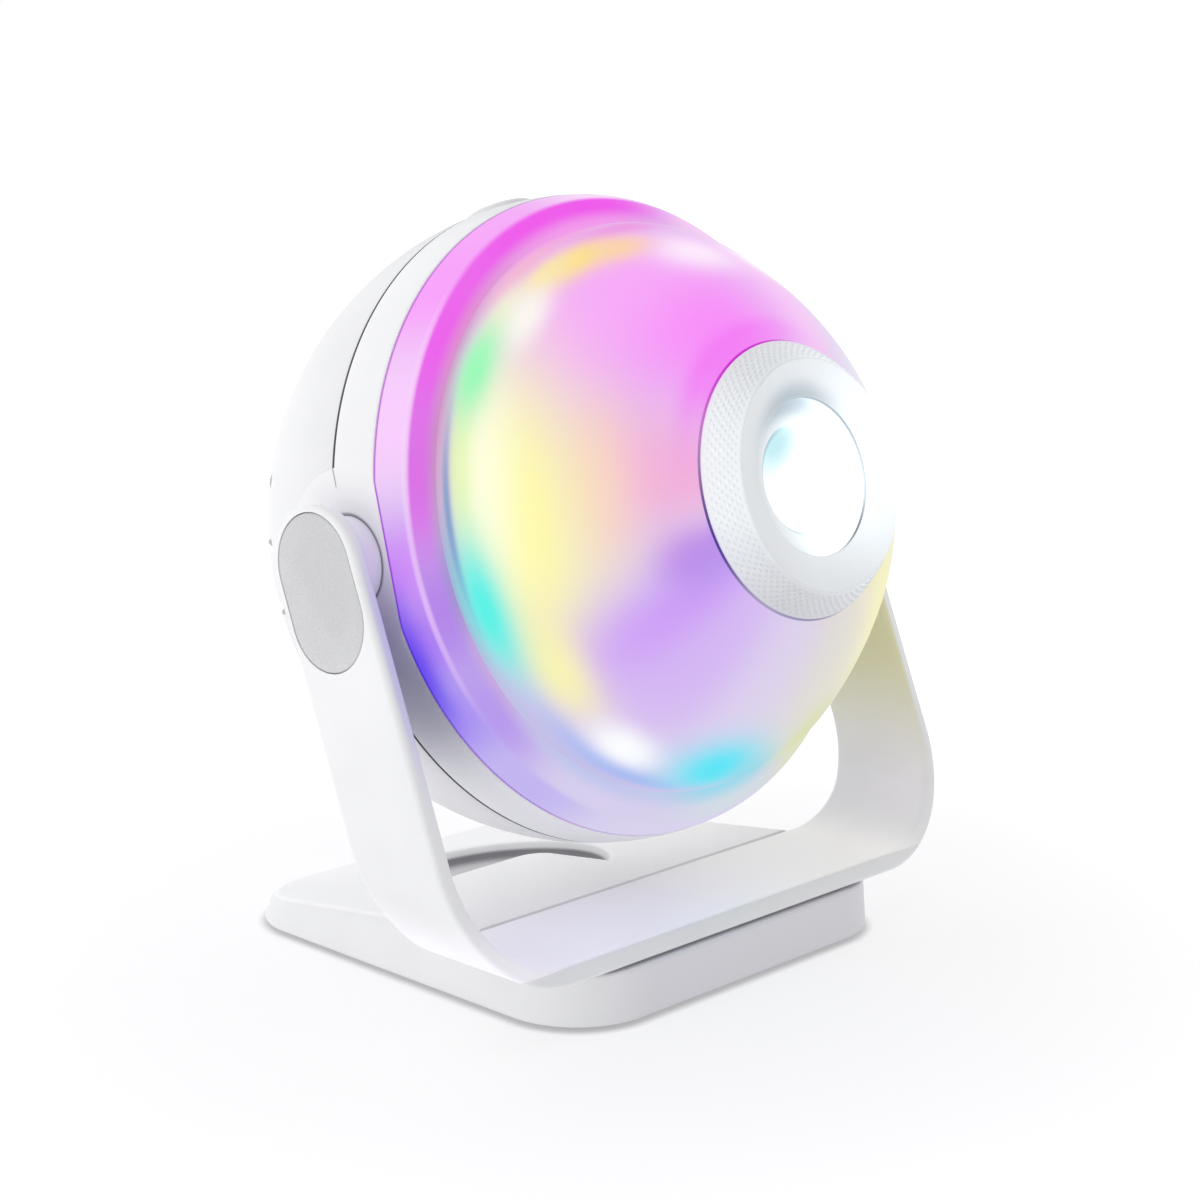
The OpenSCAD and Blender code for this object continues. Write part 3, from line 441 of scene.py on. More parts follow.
# ---------------------------------------------------------------------------
# Yoke: one strap of white plastic, bent up at both ends. Its bar lies in the
# base's notch and its arms lean back to the pivots, with round tops.

PIVOT = np.array([0.0, -9.17, 102.57])
YOKE_W, STRAP, BEND, ARM_W, STRAP_EDGE = 169.2, 4.2, 29.0, 27.0, 1.2
CAP_R, CAP_RUN, CAP_GAP, CAP_SEAT = 12.0, 11.1, 0.25, 83.3
PIVOT_SCREW_HEAD_R, PIVOT_SCREW_R, SCREW_SEAT, PAST_ARM = 5.2, 4.0, 81.9, 86.0
to_pivot = np.array([PIVOT[1] - BAR_FRONT, PIVOT[2] - BAR_UNDER])
LEAN = math.acos(ARM_W / 2 / math.hypot(*to_pivot)) - math.atan2(to_pivot[1], to_pivot[0])


def arm_front(z, inset):
    """The arm's front edge, as y at a height: a line that leans back, then the round top's circle."""
    r = ARM_W / 2 - inset
    turn = PIVOT[2] + r * math.sin(LEAN)
    line = PIVOT[1] - r * math.cos(LEAN) + (z - turn) * math.tan(LEAN)
    return np.where(z > turn, PIVOT[1] - np.sqrt(np.maximum(r * r - (z - PIVOT[2]) ** 2, 0)), line)


def arm_rear(z, inset):
    """The rear edge: the bar's upright edge, then the leaning line, joined smoothly, then the round top's circle."""
    r = ARM_W / 2 - inset
    turn = PIVOT[2] - r * math.sin(LEAN)
    line = PIVOT[1] + r * math.cos(LEAN) + (z - turn) * math.tan(LEAN)
    bar = BAR_REAR - inset
    near = np.clip(1 - np.abs(line - bar) / 1.6, 0, 1)
    line = np.maximum(line, bar) + near * near * 0.4
    return np.where(z > turn, PIVOT[1] + np.sqrt(np.maximum(r * r - (z - PIVOT[2]) ** 2, 0)), line)


def strap_surface(edge=8, face=10):
    """Sections of the strap, carried down the left arm, along the bar and up the right arm. A section is a rectangle
    with quarter-round edges: n runs across the thickness and inset is the distance from the outline. Edge and face
    are the counts of points on a quarter round and across a face."""
    e, h = STRAP_EDGE, STRAP / 2
    a = np.linspace(0, math.pi / 2, edge)
    n_edge = np.concatenate([-(h - e) - e * np.cos(a), (h - e) + e * np.sin(a)])
    i_edge = np.concatenate([e * (1 - np.sin(a)), e * (1 - np.cos(a))])
    across = np.linspace(0, 1, face + 2)[1:-1]
    n = np.concatenate([n_edge, np.full(face, h), n_edge[::-1], np.full(face, -h)])
    inset = np.concatenate([i_edge, np.full(face, e), i_edge[::-1], np.full(face, e)])
    side = np.concatenate([np.zeros(2 * edge), across, np.ones(2 * edge), across[::-1]])
    low, corner = BAR_UNDER + BEND, YOKE_W / 2 - BEND
    top = np.cos(np.linspace(0, math.radians(112), 46))
    z_round = PIVOT[2] + (ARM_W / 2 - inset)[None, :] * top[:, None]
    t = np.linspace(0, 1, 40)[1:, None]
    z_arm = np.concatenate([z_round, z_round[-1:] + (low - z_round[-1:]) * t])
    x_arm = np.broadcast_to(-(YOKE_W / 2 - h) - n, z_arm.shape)
    b = np.linspace(0, math.pi / 2, 40)[1:, None]
    r_bend = BEND - h + n[None, :]
    x_bend, z_bend = -corner - r_bend * np.cos(b), low - r_bend * np.sin(b)
    x_bar = np.linspace(-corner, 0, 24)[1:, None] + 0 * n[None, :]
    z_bar = np.broadcast_to(BAR_UNDER + h - n, x_bar.shape)
    x = np.concatenate([x_arm, x_bend, x_bar])
    z = np.concatenate([z_arm, z_bend, z_bar])
    x, z = np.concatenate([x, -x[-2::-1]]), np.concatenate([z, z[-2::-1]])
    front, rear = arm_front(z, inset), arm_rear(z, inset)
    return np.stack([x, front + (rear - front) * side, z], -1)


def oval_outline(r):
    """Two half circles, the lower one a run below the upper one, about the pivot, leaning as the arm does; y and z."""
    a = np.linspace(0, math.pi, 40)
    flat = np.concatenate([np.c_[r * np.cos(a), r * np.sin(a)], np.c_[-r * np.cos(a), -CAP_RUN - r * np.sin(a)]])
    c, s = math.cos(LEAN), math.sin(LEAN)
    return np.c_[flat[:, 0] * c + flat[:, 1] * s, -flat[:, 0] * s + flat[:, 1] * c] + PIVOT[1:]


def oval_plug(steps, side):
    """A flat oval body on one side: rows of its outline at each (x, inset), with its ends closed at the middle."""
    outlines = [(x, oval_outline(CAP_R - inset)) for x, inset in steps]
    middle = oval_outline(0.001).mean(0) + 0 * outlines[0][1]
    outlines = [(steps[0][0], middle)] + outlines + [(steps[-1][0], middle)]
    return np.array([np.c_[np.full(len(yz), side * x), yz] for x, yz in outlines])


def cross_rod(r, x0, x1, side, steps=96):
    """A rod along x about the pivot, as a carving tool."""
    a = np.linspace(0, 2 * math.pi, steps, endpoint=False)
    rows = [
        np.c_[np.full(steps, side * x), PIVOT[1] + q * np.cos(a), PIVOT[2] + q * np.sin(a)]
        for x, q in ((x0, 0), (x0, r), (x1, r), (x1, 0))
    ]
    return joined("tool", np.array(rows))


yoke = joined("yoke", strap_surface())
for side in (-1, 1):
    carve(yoke, joined("tool", oval_plug([(CAP_SEAT, -CAP_GAP), (PAST_ARM, -CAP_GAP)], side)))
    carve(yoke, cross_rod(PIVOT_SCREW_HEAD_R, SCREW_SEAT, PAST_ARM, side))
    carve(yoke, cross_rod(PIVOT_SCREW_R, 79.0, 83.0, side))
yoke_white = plastic("white yoke plastic", "EEEEEF", "F2F2F3", 0.44, 0.50, Specular_IOR_Level=0.25)
tree, shader, colour, here = paints(yoke_white)
x, y, z = xyz(tree, here)
# The dome's light on the arms, yellow-green inside the right one and violet inside the left one, and on the bar
right_arm = product(tree, ramp(tree, z, 0.026, 0.066), ramp(tree, x, 0.0825, 0.0810), ramp(tree, x, 0.060, 0.078))
left_arm = product(tree, ramp(tree, x, -0.0838, -0.0822), ramp(tree, x, -0.070, -0.078))
left_arm = product(tree, left_arm, ramp(tree, off(tree, z, 0.086), 0.034, 0.006, 0.0, 0.7))
colour = blended(tree, right_arm, colour, tone("DEDEB0"))
feed(tree, shader, Base_Color=blended(tree, left_arm, colour, tone("C9BCF2")))
on_bar = product(tree, ramp(tree, z, 0.0171, 0.0174), ramp(tree, z, 0.034, 0.0178), ramp(tree, x, 0.074, 0.056), 0.2)
shine(tree, shader, on_bar, blended(tree, ramp(tree, x, -0.035, 0.03), tone("E6DDF6"), tone("F2F2E6")))
dress(yoke, yoke_white, "stand", "white_yoke", "yoke")

# ---------------------------------------------------------------------------
# Oval caps: light grey plastic plugs with a fine grain, pressed into the
# arms' pockets over the pivot screws.

CAP_FACE, CAP_EDGE = 84.6, 0.35
pad = plastic("grey grained plastic", "CCCCCD", "D8D8D9", 0.55, 0.62, grain=4200.0, bump=0.35)
tree, shader, colour, here = paints(pad)
speck = ramp(tree, noise(tree, here, 3300.0, 2.0, 0.7), 0.45, 0.70, 0.0, 0.5)
feed(tree, shader, Base_Color=blended(tree, speck, colour, tone("A9A9AA")))
cap_steps = [(CAP_SEAT, 0.0)]
for q in np.linspace(0, math.pi / 2, 7):
    cap_steps.append((CAP_FACE - CAP_EDGE * (1 - math.sin(q)), CAP_EDGE * (1 - math.cos(q))))
cap_steps += [(CAP_FACE, 2.0), (CAP_FACE, 7.0)]
for side, name in ((-1, "left"), (1, "right")):
    dress(joined("cap_" + name + "_face", oval_plug(cap_steps, side)), pad, "stand", "grey_cap", "cap_" + name)

# ---------------------------------------------------------------------------
# Rear housing: a half ball of satin white plastic with a ring of vent slots,
# a hole for the power button, one for the inlet, and four deep screw holes.

HEAD_R, HEAD_Z, HEAD_WALL, FLAT_X = 76.8, 0.8, 2.4, 74.0
SEAM_Z, SEAM_GAP, EAR_HOLE_R = -0.4, 0.6, 20.79
VENTS, VENT_W, VENT_L, VENT_TILT, VENT_FREE = 28, 3.0, 23.0, math.radians(53), 8
BUTTON_R, BUTTON_GAP, BUTTON_TILT = 8.6, 0.3, math.radians(9)
SCREW_HOLE_R, SCREW_RING_R = 3.3, 58
INLET_Y, INLET_HALF, INLET_R = -20.0, 2.85, 1.65
REST_PITCH = math.radians(14.7)
HEAD_UP = np.array([0.0, math.sin(REST_PITCH), math.cos(REST_PITCH)])
HEAD_AXIS = np.array([0.0, -math.cos(REST_PITCH), math.sin(REST_PITCH)])


def at_head(points):
    """Points of the head's own frame (x right, y up, z along the lens axis, from the pivot) put in the lamp's frame."""
    return PIVOT + points[..., :1] * [1.0, 0.0, 0.0] + points[..., 1:2] * HEAD_UP + points[..., 2:3] * HEAD_AXIS


def in_head_frame(tree, here):
    """Object coordinates turned into the head's own frame, in mm."""
    turn = REST_PITCH - math.pi / 2
    y, z = PIVOT[1], PIVOT[2]
    shift = (0.0, -(y * math.cos(turn) - z * math.sin(turn)), -(y * math.sin(turn) + z * math.cos(turn)))
    return put(tree, "ShaderNodeMapping", here, shift, (turn, 0.0, 0.0), (1000.0, 1000.0, 1000.0)).outputs[0]


def turned(profile, steps):
    """A profile of (radius, height) turned about the head's axis."""
    profile = np.asarray(profile, float)
    a = np.linspace(0, 2 * math.pi, steps, endpoint=False)[None, :]
    r, z = profile[:, :1], profile[:, 1:]
    return np.stack([r * np.cos(a), r * np.sin(a), z + 0 * a], -1)


def ball_arc(radius, z_low, z_high, steps):
    """(radius, height) along the head's ball between two heights, in even steps of angle."""
    low, high = math.asin(max(-1, (z_low - HEAD_Z) / radius)), math.asin(min(1, (z_high - HEAD_Z) / radius))
    a = np.linspace(low, high, steps)
    return np.c_[radius * np.cos(a), HEAD_Z + radius * np.sin(a)]


def along(direction, start, end, r, steps, origin=(0.0, 0.0, HEAD_Z)):
    """A rod in the head's frame, from an origin along a direction, as a carving tool."""
    d = np.array(direction, float)
    d /= np.linalg.norm(d)
    side = np.cross(d, [0.0, 0.0, 1.0] if abs(d[2]) < 0.9 else [1.0, 0.0, 0.0])
    side /= np.linalg.norm(side)
    other = np.cross(d, side)
    a = np.linspace(0, 2 * math.pi, steps, endpoint=False)[:, None]
    ring = np.cos(a) * side + np.sin(a) * other
    rows = [np.array(origin) + d * h + ring * q for h, q in ((start, 0), (start, r), (end, r), (end, 0))]
    return at_head(np.array(rows))


seam_low = SEAM_Z - SEAM_GAP / 2
inner_r = HEAD_R - HEAD_WALL
outside = ball_arc(HEAD_R, HEAD_Z - HEAD_R, seam_low - 0.25, 90)
lip = np.array([[HEAD_R - 0.08, seam_low - 0.07], [HEAD_R - 0.3, seam_low], [HEAD_R - HEAD_WALL + 0.02, seam_low]])
inside = ball_arc(inner_r, HEAD_Z - inner_r, seam_low, 60)[::-1]
rear = joined("rear_housing_shell", at_head(turned(np.concatenate([outside, lip, inside]), 360)))

# The vents: rounded slots that point to the ball's middle, left out where the screws are
slots = []
head_middle = np.array([0, 0, HEAD_Z])
for k in range(VENTS):
    a = (k + 0.5) * 360 / VENTS
    if abs(a % 90 - 45) <= VENT_FREE:
        continue
    a = math.radians(a)
    out = np.array([math.cos(a) * math.sin(VENT_TILT), math.sin(a) * math.sin(VENT_TILT), -math.cos(VENT_TILT)])
    long = np.array([math.cos(a) * math.cos(VENT_TILT), math.sin(a) * math.cos(VENT_TILT), math.sin(VENT_TILT)])
    wide = np.cross(out, long)
    b = np.linspace(0, math.pi, 10)[:, None]
    half = (VENT_L - VENT_W) / 2
    end = VENT_W / 2 * (np.sin(b) * long + np.cos(b) * wide)
    loop = np.concatenate([long * half + end, -long * half - end])
    rows = [head_middle + out * h + loop * q for h, q in ((70.0, 0), (70.0, 1), (80.0, 1), (80.0, 0))]
    slots.append(at_head(np.array(rows)))
carve(rear, joined("tool", *slots))
button_way = (0.0, math.cos(BUTTON_TILT), -math.sin(BUTTON_TILT))
carve(rear, joined("tool", along(button_way, 66, 84, BUTTON_R + BUTTON_GAP, 96)))
for side in (-1, 1):
    carve(rear, cross_rod(EAR_HOLE_R, 60, 90, side, 160))
holes = []
for q in math.pi / 4 + np.arange(4) * math.pi / 2:
    foot = (SCREW_RING_R * math.cos(q), SCREW_RING_R * math.sin(q), 0)
    holes.append(along((0, 0, -1), 20, 90, SCREW_HOLE_R, 40, foot))
carve(rear, joined("tool", *holes))
inlet_rows = []
for z, grow in ((-90.0, 0.0), (-90.0, 1.6), (-73.5, 1.6), (-73.5, 0.3), (-68.0, 0.3), (-68.0, 0.0)):
    q = np.linspace(0, math.pi, 16)
    r = INLET_R + grow
    right = np.c_[INLET_HALF + r * np.sin(q), -r * np.cos(q)]
    left = np.c_[-INLET_HALF - r * np.sin(q), r * np.cos(q)]
    loop = np.concatenate([right, left]) * (grow > 0)
    inlet_rows.append(np.c_[loop[:, 0], loop[:, 1] + INLET_Y, np.full(len(loop), z)])
carve(rear, joined("tool", at_head(np.array(inlet_rows))))

# A shaded copy of the white plastic, darker than the band's, as painted shade; the lip lies in the seam's painted
# shadow
shaded_rear_white = plastic("shaded white rear plastic", "E6E6E7", "EAEAEB", 0.42, 0.48, Specular_IOR_Level=0.25)
tree, shader, colour, here = paints(shaded_rear_white)
level = xyz(tree, in_head_frame(tree, here))[2]
lip_shade = ramp(tree, level, seam_low - 0.12, seam_low - 0.04, 0.0, 0.85)
feed(tree, shader, Base_Color=blended(tree, lip_shade, colour, tone("3A3A3E")))
dress(rear, shaded_rear_white, "head", "white_housing", "rear_housing")

# ---------------------------------------------------------------------------
# Front band: the white ring of the head between the seam and the light ring,
# with a flat round ear at each side that the hub stands on.

RING_Z, HUB_R, EAR_REAR_X, EAR_BORE_R, BAND_BORE_R = 12.3, 10.1, 70.5, 7.05, 72.6


def turn_from(tree, angle, middle):
    """An angle less another one, in degrees, on the shorter way round."""
    return sums(tree, "WRAP", sums(tree, "SUBTRACT", angle, middle), 180.0, -180.0)


# One light's glow: exp(-(a*a + h*h)^1.25), with a and h the angle and height off its place in half widths and heights
number = "NodeSocketFloat"
glow_entries = [("Angle", number, None), ("Height", number, None)]
glow_entries += [("At angle", number, 0.0), ("At height", number, 0.0)]
glow_entries += [("Wide", number, 10.0), ("Tall", number, 5.0), ("Strength", number, 1.0)]
glow_group, glow_in, glow_out = shell_group("glow of one light", glow_entries, [("Mask", number)])
angle, height, at_angle, at_height, wide, tall, strength = glow_in.outputs[:7]
aside = sums(glow_group, "ABSOLUTE", sums(glow_group, "DIVIDE", turn_from(glow_group, angle, at_angle), wide))
rise = sums(glow_group, "DIVIDE", sums(glow_group, "SUBTRACT", height, at_height), tall)
apart = sums(glow_group, "ADD", sums(glow_group, "POWER", aside, 2.0), product(glow_group, rise, rise))
fall = sums(glow_group, "EXPONENT", product(glow_group, sums(glow_group, "POWER", apart, 1.25), -1.0))
glow_group.links.new(product(glow_group, fall, strength), glow_out.inputs[0])


def glow_mask(tree, angle, height, *place):
    """How strongly one light shows at an angle and a height."""
    return put(tree, "ShaderNodeGroup", angle, height, *place, node_tree=glow_group).outputs[0]


def light_field(name, ground, glows):
    """A node group whose colour is the ground with the glows laid over it in turn. A glow is its colour, its place (an
    angle round the lens axis in degrees and a height in mm), its half width and half height, and its strength."""
    entries = [("Angle", number, None), ("Height", number, None)]
    group, entry, result = shell_group(name, entries, [("Colour", "NodeSocketColor")])
    colour = tone(ground)
    for code, *place in glows:
        colour = blended(group, glow_mask(group, *entry.outputs[:2], *place), colour, tone(code))
    group.links.new(colour, result.inputs[0])
    return group


def lit(tree, group, angle, height):
    """The colour of a light field at an angle and a height."""
    return put(tree, "ShaderNodeGroup", angle, height, node_tree=group).outputs[0]


def round_axis(tree, local):
    """Angle round the lens axis in degrees, distance from it and height along it, in mm."""
    x, y, z = xyz(tree, local)
    angle = sums(tree, "DEGREES", sums(tree, "ARCTAN2", y, x))
    return angle, sums(tree, "SQRT", sums(tree, "MULTIPLY_ADD", x, x, product(tree, y, y))), z


seam_high = SEAM_Z + SEAM_GAP / 2
band_end = math.sqrt(HEAD_R**2 - (RING_Z - HEAD_Z) ** 2)
band_profile = [
    [[HEAD_R - HEAD_WALL, seam_high], [HEAD_R - 0.3, seam_high], [HEAD_R - 0.08, seam_high + 0.07]],
    ball_arc(HEAD_R, seam_high + 0.25, RING_Z - 0.25, 18),
    [[band_end - 0.12, RING_Z - 0.05], [band_end - 0.4, RING_Z], [BAND_BORE_R, RING_Z], [BAND_BORE_R, seam_high + 2.0]],
]
band_grid = turned(np.concatenate(band_profile), 480)
band_grid[..., 0] = np.clip(band_grid[..., 0], -FLAT_X, FLAT_X)
ear_r = math.sqrt(HEAD_R**2 - FLAT_X**2) + 0.22
EAR_PROFILE = [
    (EAR_REAR_X, 10.6),
    (EAR_REAR_X, ear_r),
    (FLAT_X - 0.12, ear_r),
    (FLAT_X - 0.02, ear_r - 0.03),
    (FLAT_X + 0.02, ear_r - 0.12),
    (FLAT_X + 0.02, 12.0),
    (FLAT_X + 0.02, EAR_BORE_R),
    (EAR_REAR_X, EAR_BORE_R),
]
a = np.linspace(0, 2 * math.pi, 160, endpoint=False)
ears = []
for side in (-1, 1):
    rows = [
        np.c_[np.full(len(a), side * x), r * np.sin(a), np.minimum(r * np.cos(a), RING_Z - 0.3)] for x, r in EAR_PROFILE
    ]
    ears.append((at_head(np.array(rows)), True))
band = joined("front_band_shell", (at_head(band_grid), True), *ears)

# On the ears, a painted shadow line round the hub's foot and a dark line at the seam's free end; under the left arm,
# its painted shade
band_white = plastic("white band plastic", "EFEFF0", "F2F2F3", 0.42, 0.48, Specular_IOR_Level=0.25)
tree, shader, colour, here = paints(band_white)
local = in_head_frame(tree, here)
x, y, z = xyz(tree, local)
on_ear = ramp(tree, sums(tree, "ABSOLUTE", x), 73.5, 73.8)
from_pivot = sums(tree, "SQRT", sums(tree, "MULTIPLY_ADD", y, y, product(tree, z, z)))
hub_foot_shadow = product(tree, on_ear, ramp(tree, from_pivot, HUB_R + 1.1, HUB_R + 0.1), 0.85)
seam_end = product(tree, on_ear, ramp(tree, off(tree, z, SEAM_Z), 0.26, 0.12), ramp(tree, y, 15.8, 17.2), 0.7)
colour = blended(tree, hub_foot_shadow, colour, tone("5C5862"))
colour = blended(tree, seam_end, colour, tone("6E6E72"))
arm_shade = light_field("shade under the arm", "FFFFFF", [("9A9AA8", 203, 5, 15, 60, 0.75)])
angle, far, level = round_axis(tree, local)
feed(tree, shader, Base_Color=blended(tree, 1.0, colour, lit(tree, arm_shade, angle, level), "MULTIPLY"))
dress(band, band_white, "head", "white_housing", "front_band")

# ---------------------------------------------------------------------------
# Light ring and dome: opal plastic lit from inside by coloured lights on the
# ring board, whose colours run into each other. Ring and dome are two
# mouldings; their colours are fields in the head's own frame.

RING_R, RING_FRONT, VALLEY_R = 75.0, 22.6, 66.0
RING_INNER_R, RING_CROWN_R, VALLEY_EDGE_R = RING_R - 1.8, RING_R - 5.6, VALLEY_R + 0.08


def bezier(a, b, c, d, steps):
    """Points of a cubic curve."""
    t = np.linspace(0, 1, steps + 1)[:, None]
    a, b, c, d = (np.array(p, float) for p in (a, b, c, d))
    return (1 - t) ** 3 * a + 3 * (1 - t) ** 2 * t * b + 3 * (1 - t) * t * t * c + t**3 * d


def glowing(tree, shader, here, colour, cloud, smooth, rough, bump):
    """Opal plastic that gives off a colour, with little of its own, and whose surface is faintly wavy."""
    feed(tree, shader, Emission_Color=colour, Base_Color=blended(tree, 0.96, colour, BLACK))
    waves = noise(tree, here, cloud)
    feed(tree, shader, Roughness=ramp(tree, waves, 0.3, 0.7, smooth, rough))
    relief(tree, shader, waves, bump, 0.0003)


# The ring: a flared rear edge, the skirt up to the crown, down into the valley, and back on the inside
ring_profile = [
    [[RING_R + 0.35, RING_Z + 0.02], [RING_R + 0.59, RING_Z + 0.12]],
    bezier(
        (RING_R + 0.65, RING_Z + 0.35),
        (RING_R + 0.3, RING_Z + 5.7),
        (RING_R - 2.4, RING_FRONT),
        (RING_CROWN_R, RING_FRONT),
        30,
    ),
    bezier(
        (RING_CROWN_R, RING_FRONT),
        (RING_R - 7.6, RING_FRONT),
        (VALLEY_R + 1.2, RING_FRONT - 0.2),
        (VALLEY_EDGE_R, RING_FRONT - 1),
        12,
    )[1:],
    bezier(
        (VALLEY_EDGE_R, RING_FRONT - 2.4),
        (RING_R - 5.8, RING_FRONT - 1.8),
        (RING_INNER_R, RING_Z + 4.6),
        (RING_INNER_R, RING_Z + 0.02),
        16,
    ),
]
ring_grid = turned(np.concatenate(ring_profile), 480)
ring_grid[..., 0] = np.clip(ring_grid[..., 0], -FLAT_X, FLAT_X)
light_ring = joined("light_ring", (at_head(ring_grid), True))

# Colours on the ring's crown, in its valley and over its skirt. On the crown and in the valley a glow's height is its
# distance from the lens axis.
CROWN_GLOWS = [
    ("E4E2DE", 335, 70, 26, 30, 1.0),
    ("E0E2B8", 299, 70, 13, 30, 0.95),
    ("D2DCE2", 276, 70, 16, 30, 0.9),
    ("F8C2F6", 45, 70, 26, 30, 1.0),
    ("EF58EB", 92, 70, 20, 30, 1.0),
    ("EF5AEB", 113, 70, 28, 30, 1.0),
    ("EC64EC", 142, 70, 29, 30, 1.0),
    ("DA6AE6", 169, 70, 17, 30, 0.9),
    ("AC76E8", 193, 70, 13, 30, 0.85),
    ("B596EC", 212, 70, 13, 30, 0.95),
    ("F8D2F3", 60, 70, 11, 30, 0.85),
]
VALLEY_GLOWS = [
    ("F3A6EC", 100, 66, 27, 30, 1.0),
    ("DE98CC", 138, 66, 22, 30, 1.0),
    ("C692BE", 164, 66, 17, 30, 0.95),
    ("9A92CC", 190, 66, 13, 30, 0.95),
    ("CBA6DC", 208, 66, 13, 30, 0.9),
    ("B6C6EE", 237, 66, 20, 30, 0.8),
    ("86D8F0", 276, 66, 17, 30, 1.0),
    ("E6E6B6", 306, 66, 15, 30, 0.9),
]
SKIRT_GLOWS = [
    ("F6AAF8", 118, 15, 33, 30, 1.0),
    ("F7A0FA", 134, 15, 12, 30, 0.9),
    ("F7CDFC", 158, 15, 15, 30, 1.0),
    ("CF8CF6", 183, 15, 10, 30, 0.95),
    ("B07CF2", 196, 15, 9, 30, 0.95),
    ("A98FF1", 211, 15, 11, 30, 0.95),
    ("6448EE", 200, 12.4, 13, 4.8, 0.95),
    ("C0B2F0", 228, 15, 13, 30, 0.9),
    ("FBE2F8", 88, 15, 12, 30, 0.8),
]
crown_field = light_field("light on the crown", "D6CEEC", CROWN_GLOWS)
valley_field = light_field("light in the valley", "CFC6E4", VALLEY_GLOWS)
skirt_field = light_field("light on the skirt", "D8D2EC", SKIRT_GLOWS)
LIT_OPAL = {"Coat_Weight": 0.08, "Specular_IOR_Level": 0.0}
ring_opal, tree, shader, here = finish("lit opal ring", Coat_Roughness=0.2, Emission_Strength=0.975, **LIT_OPAL)
angle, far, level = round_axis(tree, in_head_frame(tree, here))
crown, valley = lit(tree, crown_field, angle, far), lit(tree, valley_field, angle, far)
crown = blended(tree, ramp(tree, far, 71.0, 66.6, 0.0, 0.8), crown, valley)
colour = blended(tree, ramp(tree, level, 21.1, 19.4), crown, lit(tree, skirt_field, angle, level))
# A thin pale painted highlight between crown and skirt at the upper left, and a darker line at the rear edge
upper_left = ramp(tree, sums(tree, "ABSOLUTE", turn_from(tree, angle, 170.0)), 48.0, 20.0, 0.0, 0.45)
thin_highlight = product(tree, ramp(tree, level, 19.2, 19.9), ramp(tree, level, 20.9, 20.2), upper_left)
colour = blended(tree, thin_highlight, colour, tone("FBDDFC"))
edge_line = product(tree, ramp(tree, level, RING_Z + 0.85, RING_Z + 0.35), 0.9)
colour = blended(tree, edge_line, colour, tone("C070D8"), "MULTIPLY")
glowing(tree, shader, here, colour, 60.0, 0.22, 0.32, 0.02)
dress(light_ring, ring_opal, "head", "ring_diffuser", "ring_diffuser")

# The dome: up from the valley over the shoulder to the focus ring, in round its seat, and back on the inside
dome_profile = [
    [[VALLEY_R, 9.6]],
    bezier((VALLEY_R, RING_FRONT - 2), (VALLEY_R + 0.5, 28.0), (65.0, 32.6), (62.3, 36.4), 20),
    bezier((62.3, 36.4), (54.6, 47.5), (44.5, 58.6), (34.0, 65.2), 56)[1:],
    [[33.6, 65.55], [33.2, 65.78], [32.6, 65.8], [30.0, 65.8], [28.2, 65.8], [28.2, 64.0]],
    bezier((33.3, 63.4), (43.2, 57.4), (53.4, 46.4), (60.9, 35.5), 24),
    [[64.2, 28.0], [64.2, 9.6]],
]
dome = joined("dome", (at_head(turned(np.concatenate(dome_profile), 360)), True))

# Colours on the dome: broad washes, the glow in the valley, and then the single lights
DOME_GLOWS = [
    ("DFDBD4", 284, 50, 20, 40, 1.0),
    ("F4F5F5", 2, 50, 42, 60, 1.0),
    ("F4F1BC", 316, 54, 22, 30, 0.95),
    ("F8D2F6", 66, 55, 15, 40, 0.8),
    ("F78EF8", 113, 62, 40, 26, 1.0),
    ("F6ABF7", 118, 46, 33, 11, 0.8),
    ("F1AEDA", 170, 63, 19, 14, 0.95),
    ("C68CE6", 200, 64, 11, 6.5, 0.9),
    ("F6CDC6", 172, 53, 22, 6, 0.8),
    ("FEF9A8", 178, 39.5, 33, 12.5, 1.0),
    ("FFFFE0", 170, 34, 23, 6.0, 0.85),
    ("E6FBB0", 167, 28.6, 15, 3.0, 0.8),
    ("CC9CF6", 214, 57, 14, 18, 1.0),
    ("A888E6", 204, 65, 11, 6, 0.5),
    ("D2B2F2", 230, 54, 15, 20, 0.8),
    ("C2BEE6", 225, 22, 44, 7.6, 0.95),
    ("CE9AC6", 150, 20.5, 36, 4.8, 0.95),
    ("F39EE2", 107, 24, 20, 10, 0.85),
    ("EE80DC", 95, 34, 12, 3.2, 0.6),
    ("A2ACD2", 189, 22, 15, 3.4, 0.9),
    ("A6B8F0", 238, 29, 20, 4.0, 0.95),
    ("FFFFFF", 58, 42, 13, 6, 0.9),
    ("FDEAFC", 87, 46, 13, 6, 0.95),
    ("F9D2AE", 104, 40, 9, 3.8, 0.95),
    ("FBDD90", 114, 36.8, 9.5, 3.8, 1.0),
    ("F9E8A4", 122, 34, 8, 3.6, 0.9),
    ("F3B8D0", 122, 27, 13, 4.0, 0.8),
    ("F5F1D4", 134, 31, 9, 4.0, 0.85),
    ("FCFAF0", 134, 36, 8.5, 3.8, 0.85),
    ("9CF8B8", 147, 29.6, 10.5, 5.0, 1.0),
    ("F8F2B2", 209, 36.8, 14, 5.0, 0.95),
    ("5CF0E4", 193.5, 28.8, 14.5, 5.9, 1.0),
    ("6A94C8", 174, 24.8, 17, 1.2, 0.75),
    ("FAFCFE", 234, 35.3, 9.5, 4.6, 1.0),
    ("5CE4F5", 259, 37.2, 13, 8.4, 1.0),
    ("8CD8EA", 272, 33, 8, 7, 0.8),
    ("DADFB2", 288, 38.5, 8.5, 8.5, 0.95),
    ("F7B4E4", 320, 32, 11, 6, 0.9),
    ("FBE39A", 345, 33, 10, 6, 0.9),
    ("9AF0C4", 12, 32, 10, 6, 0.9),
    ("8FD2F8", 36, 32, 10, 6, 0.9),
    ("F27CF4", 118, 65, 36, 1.9, 0.85),
]
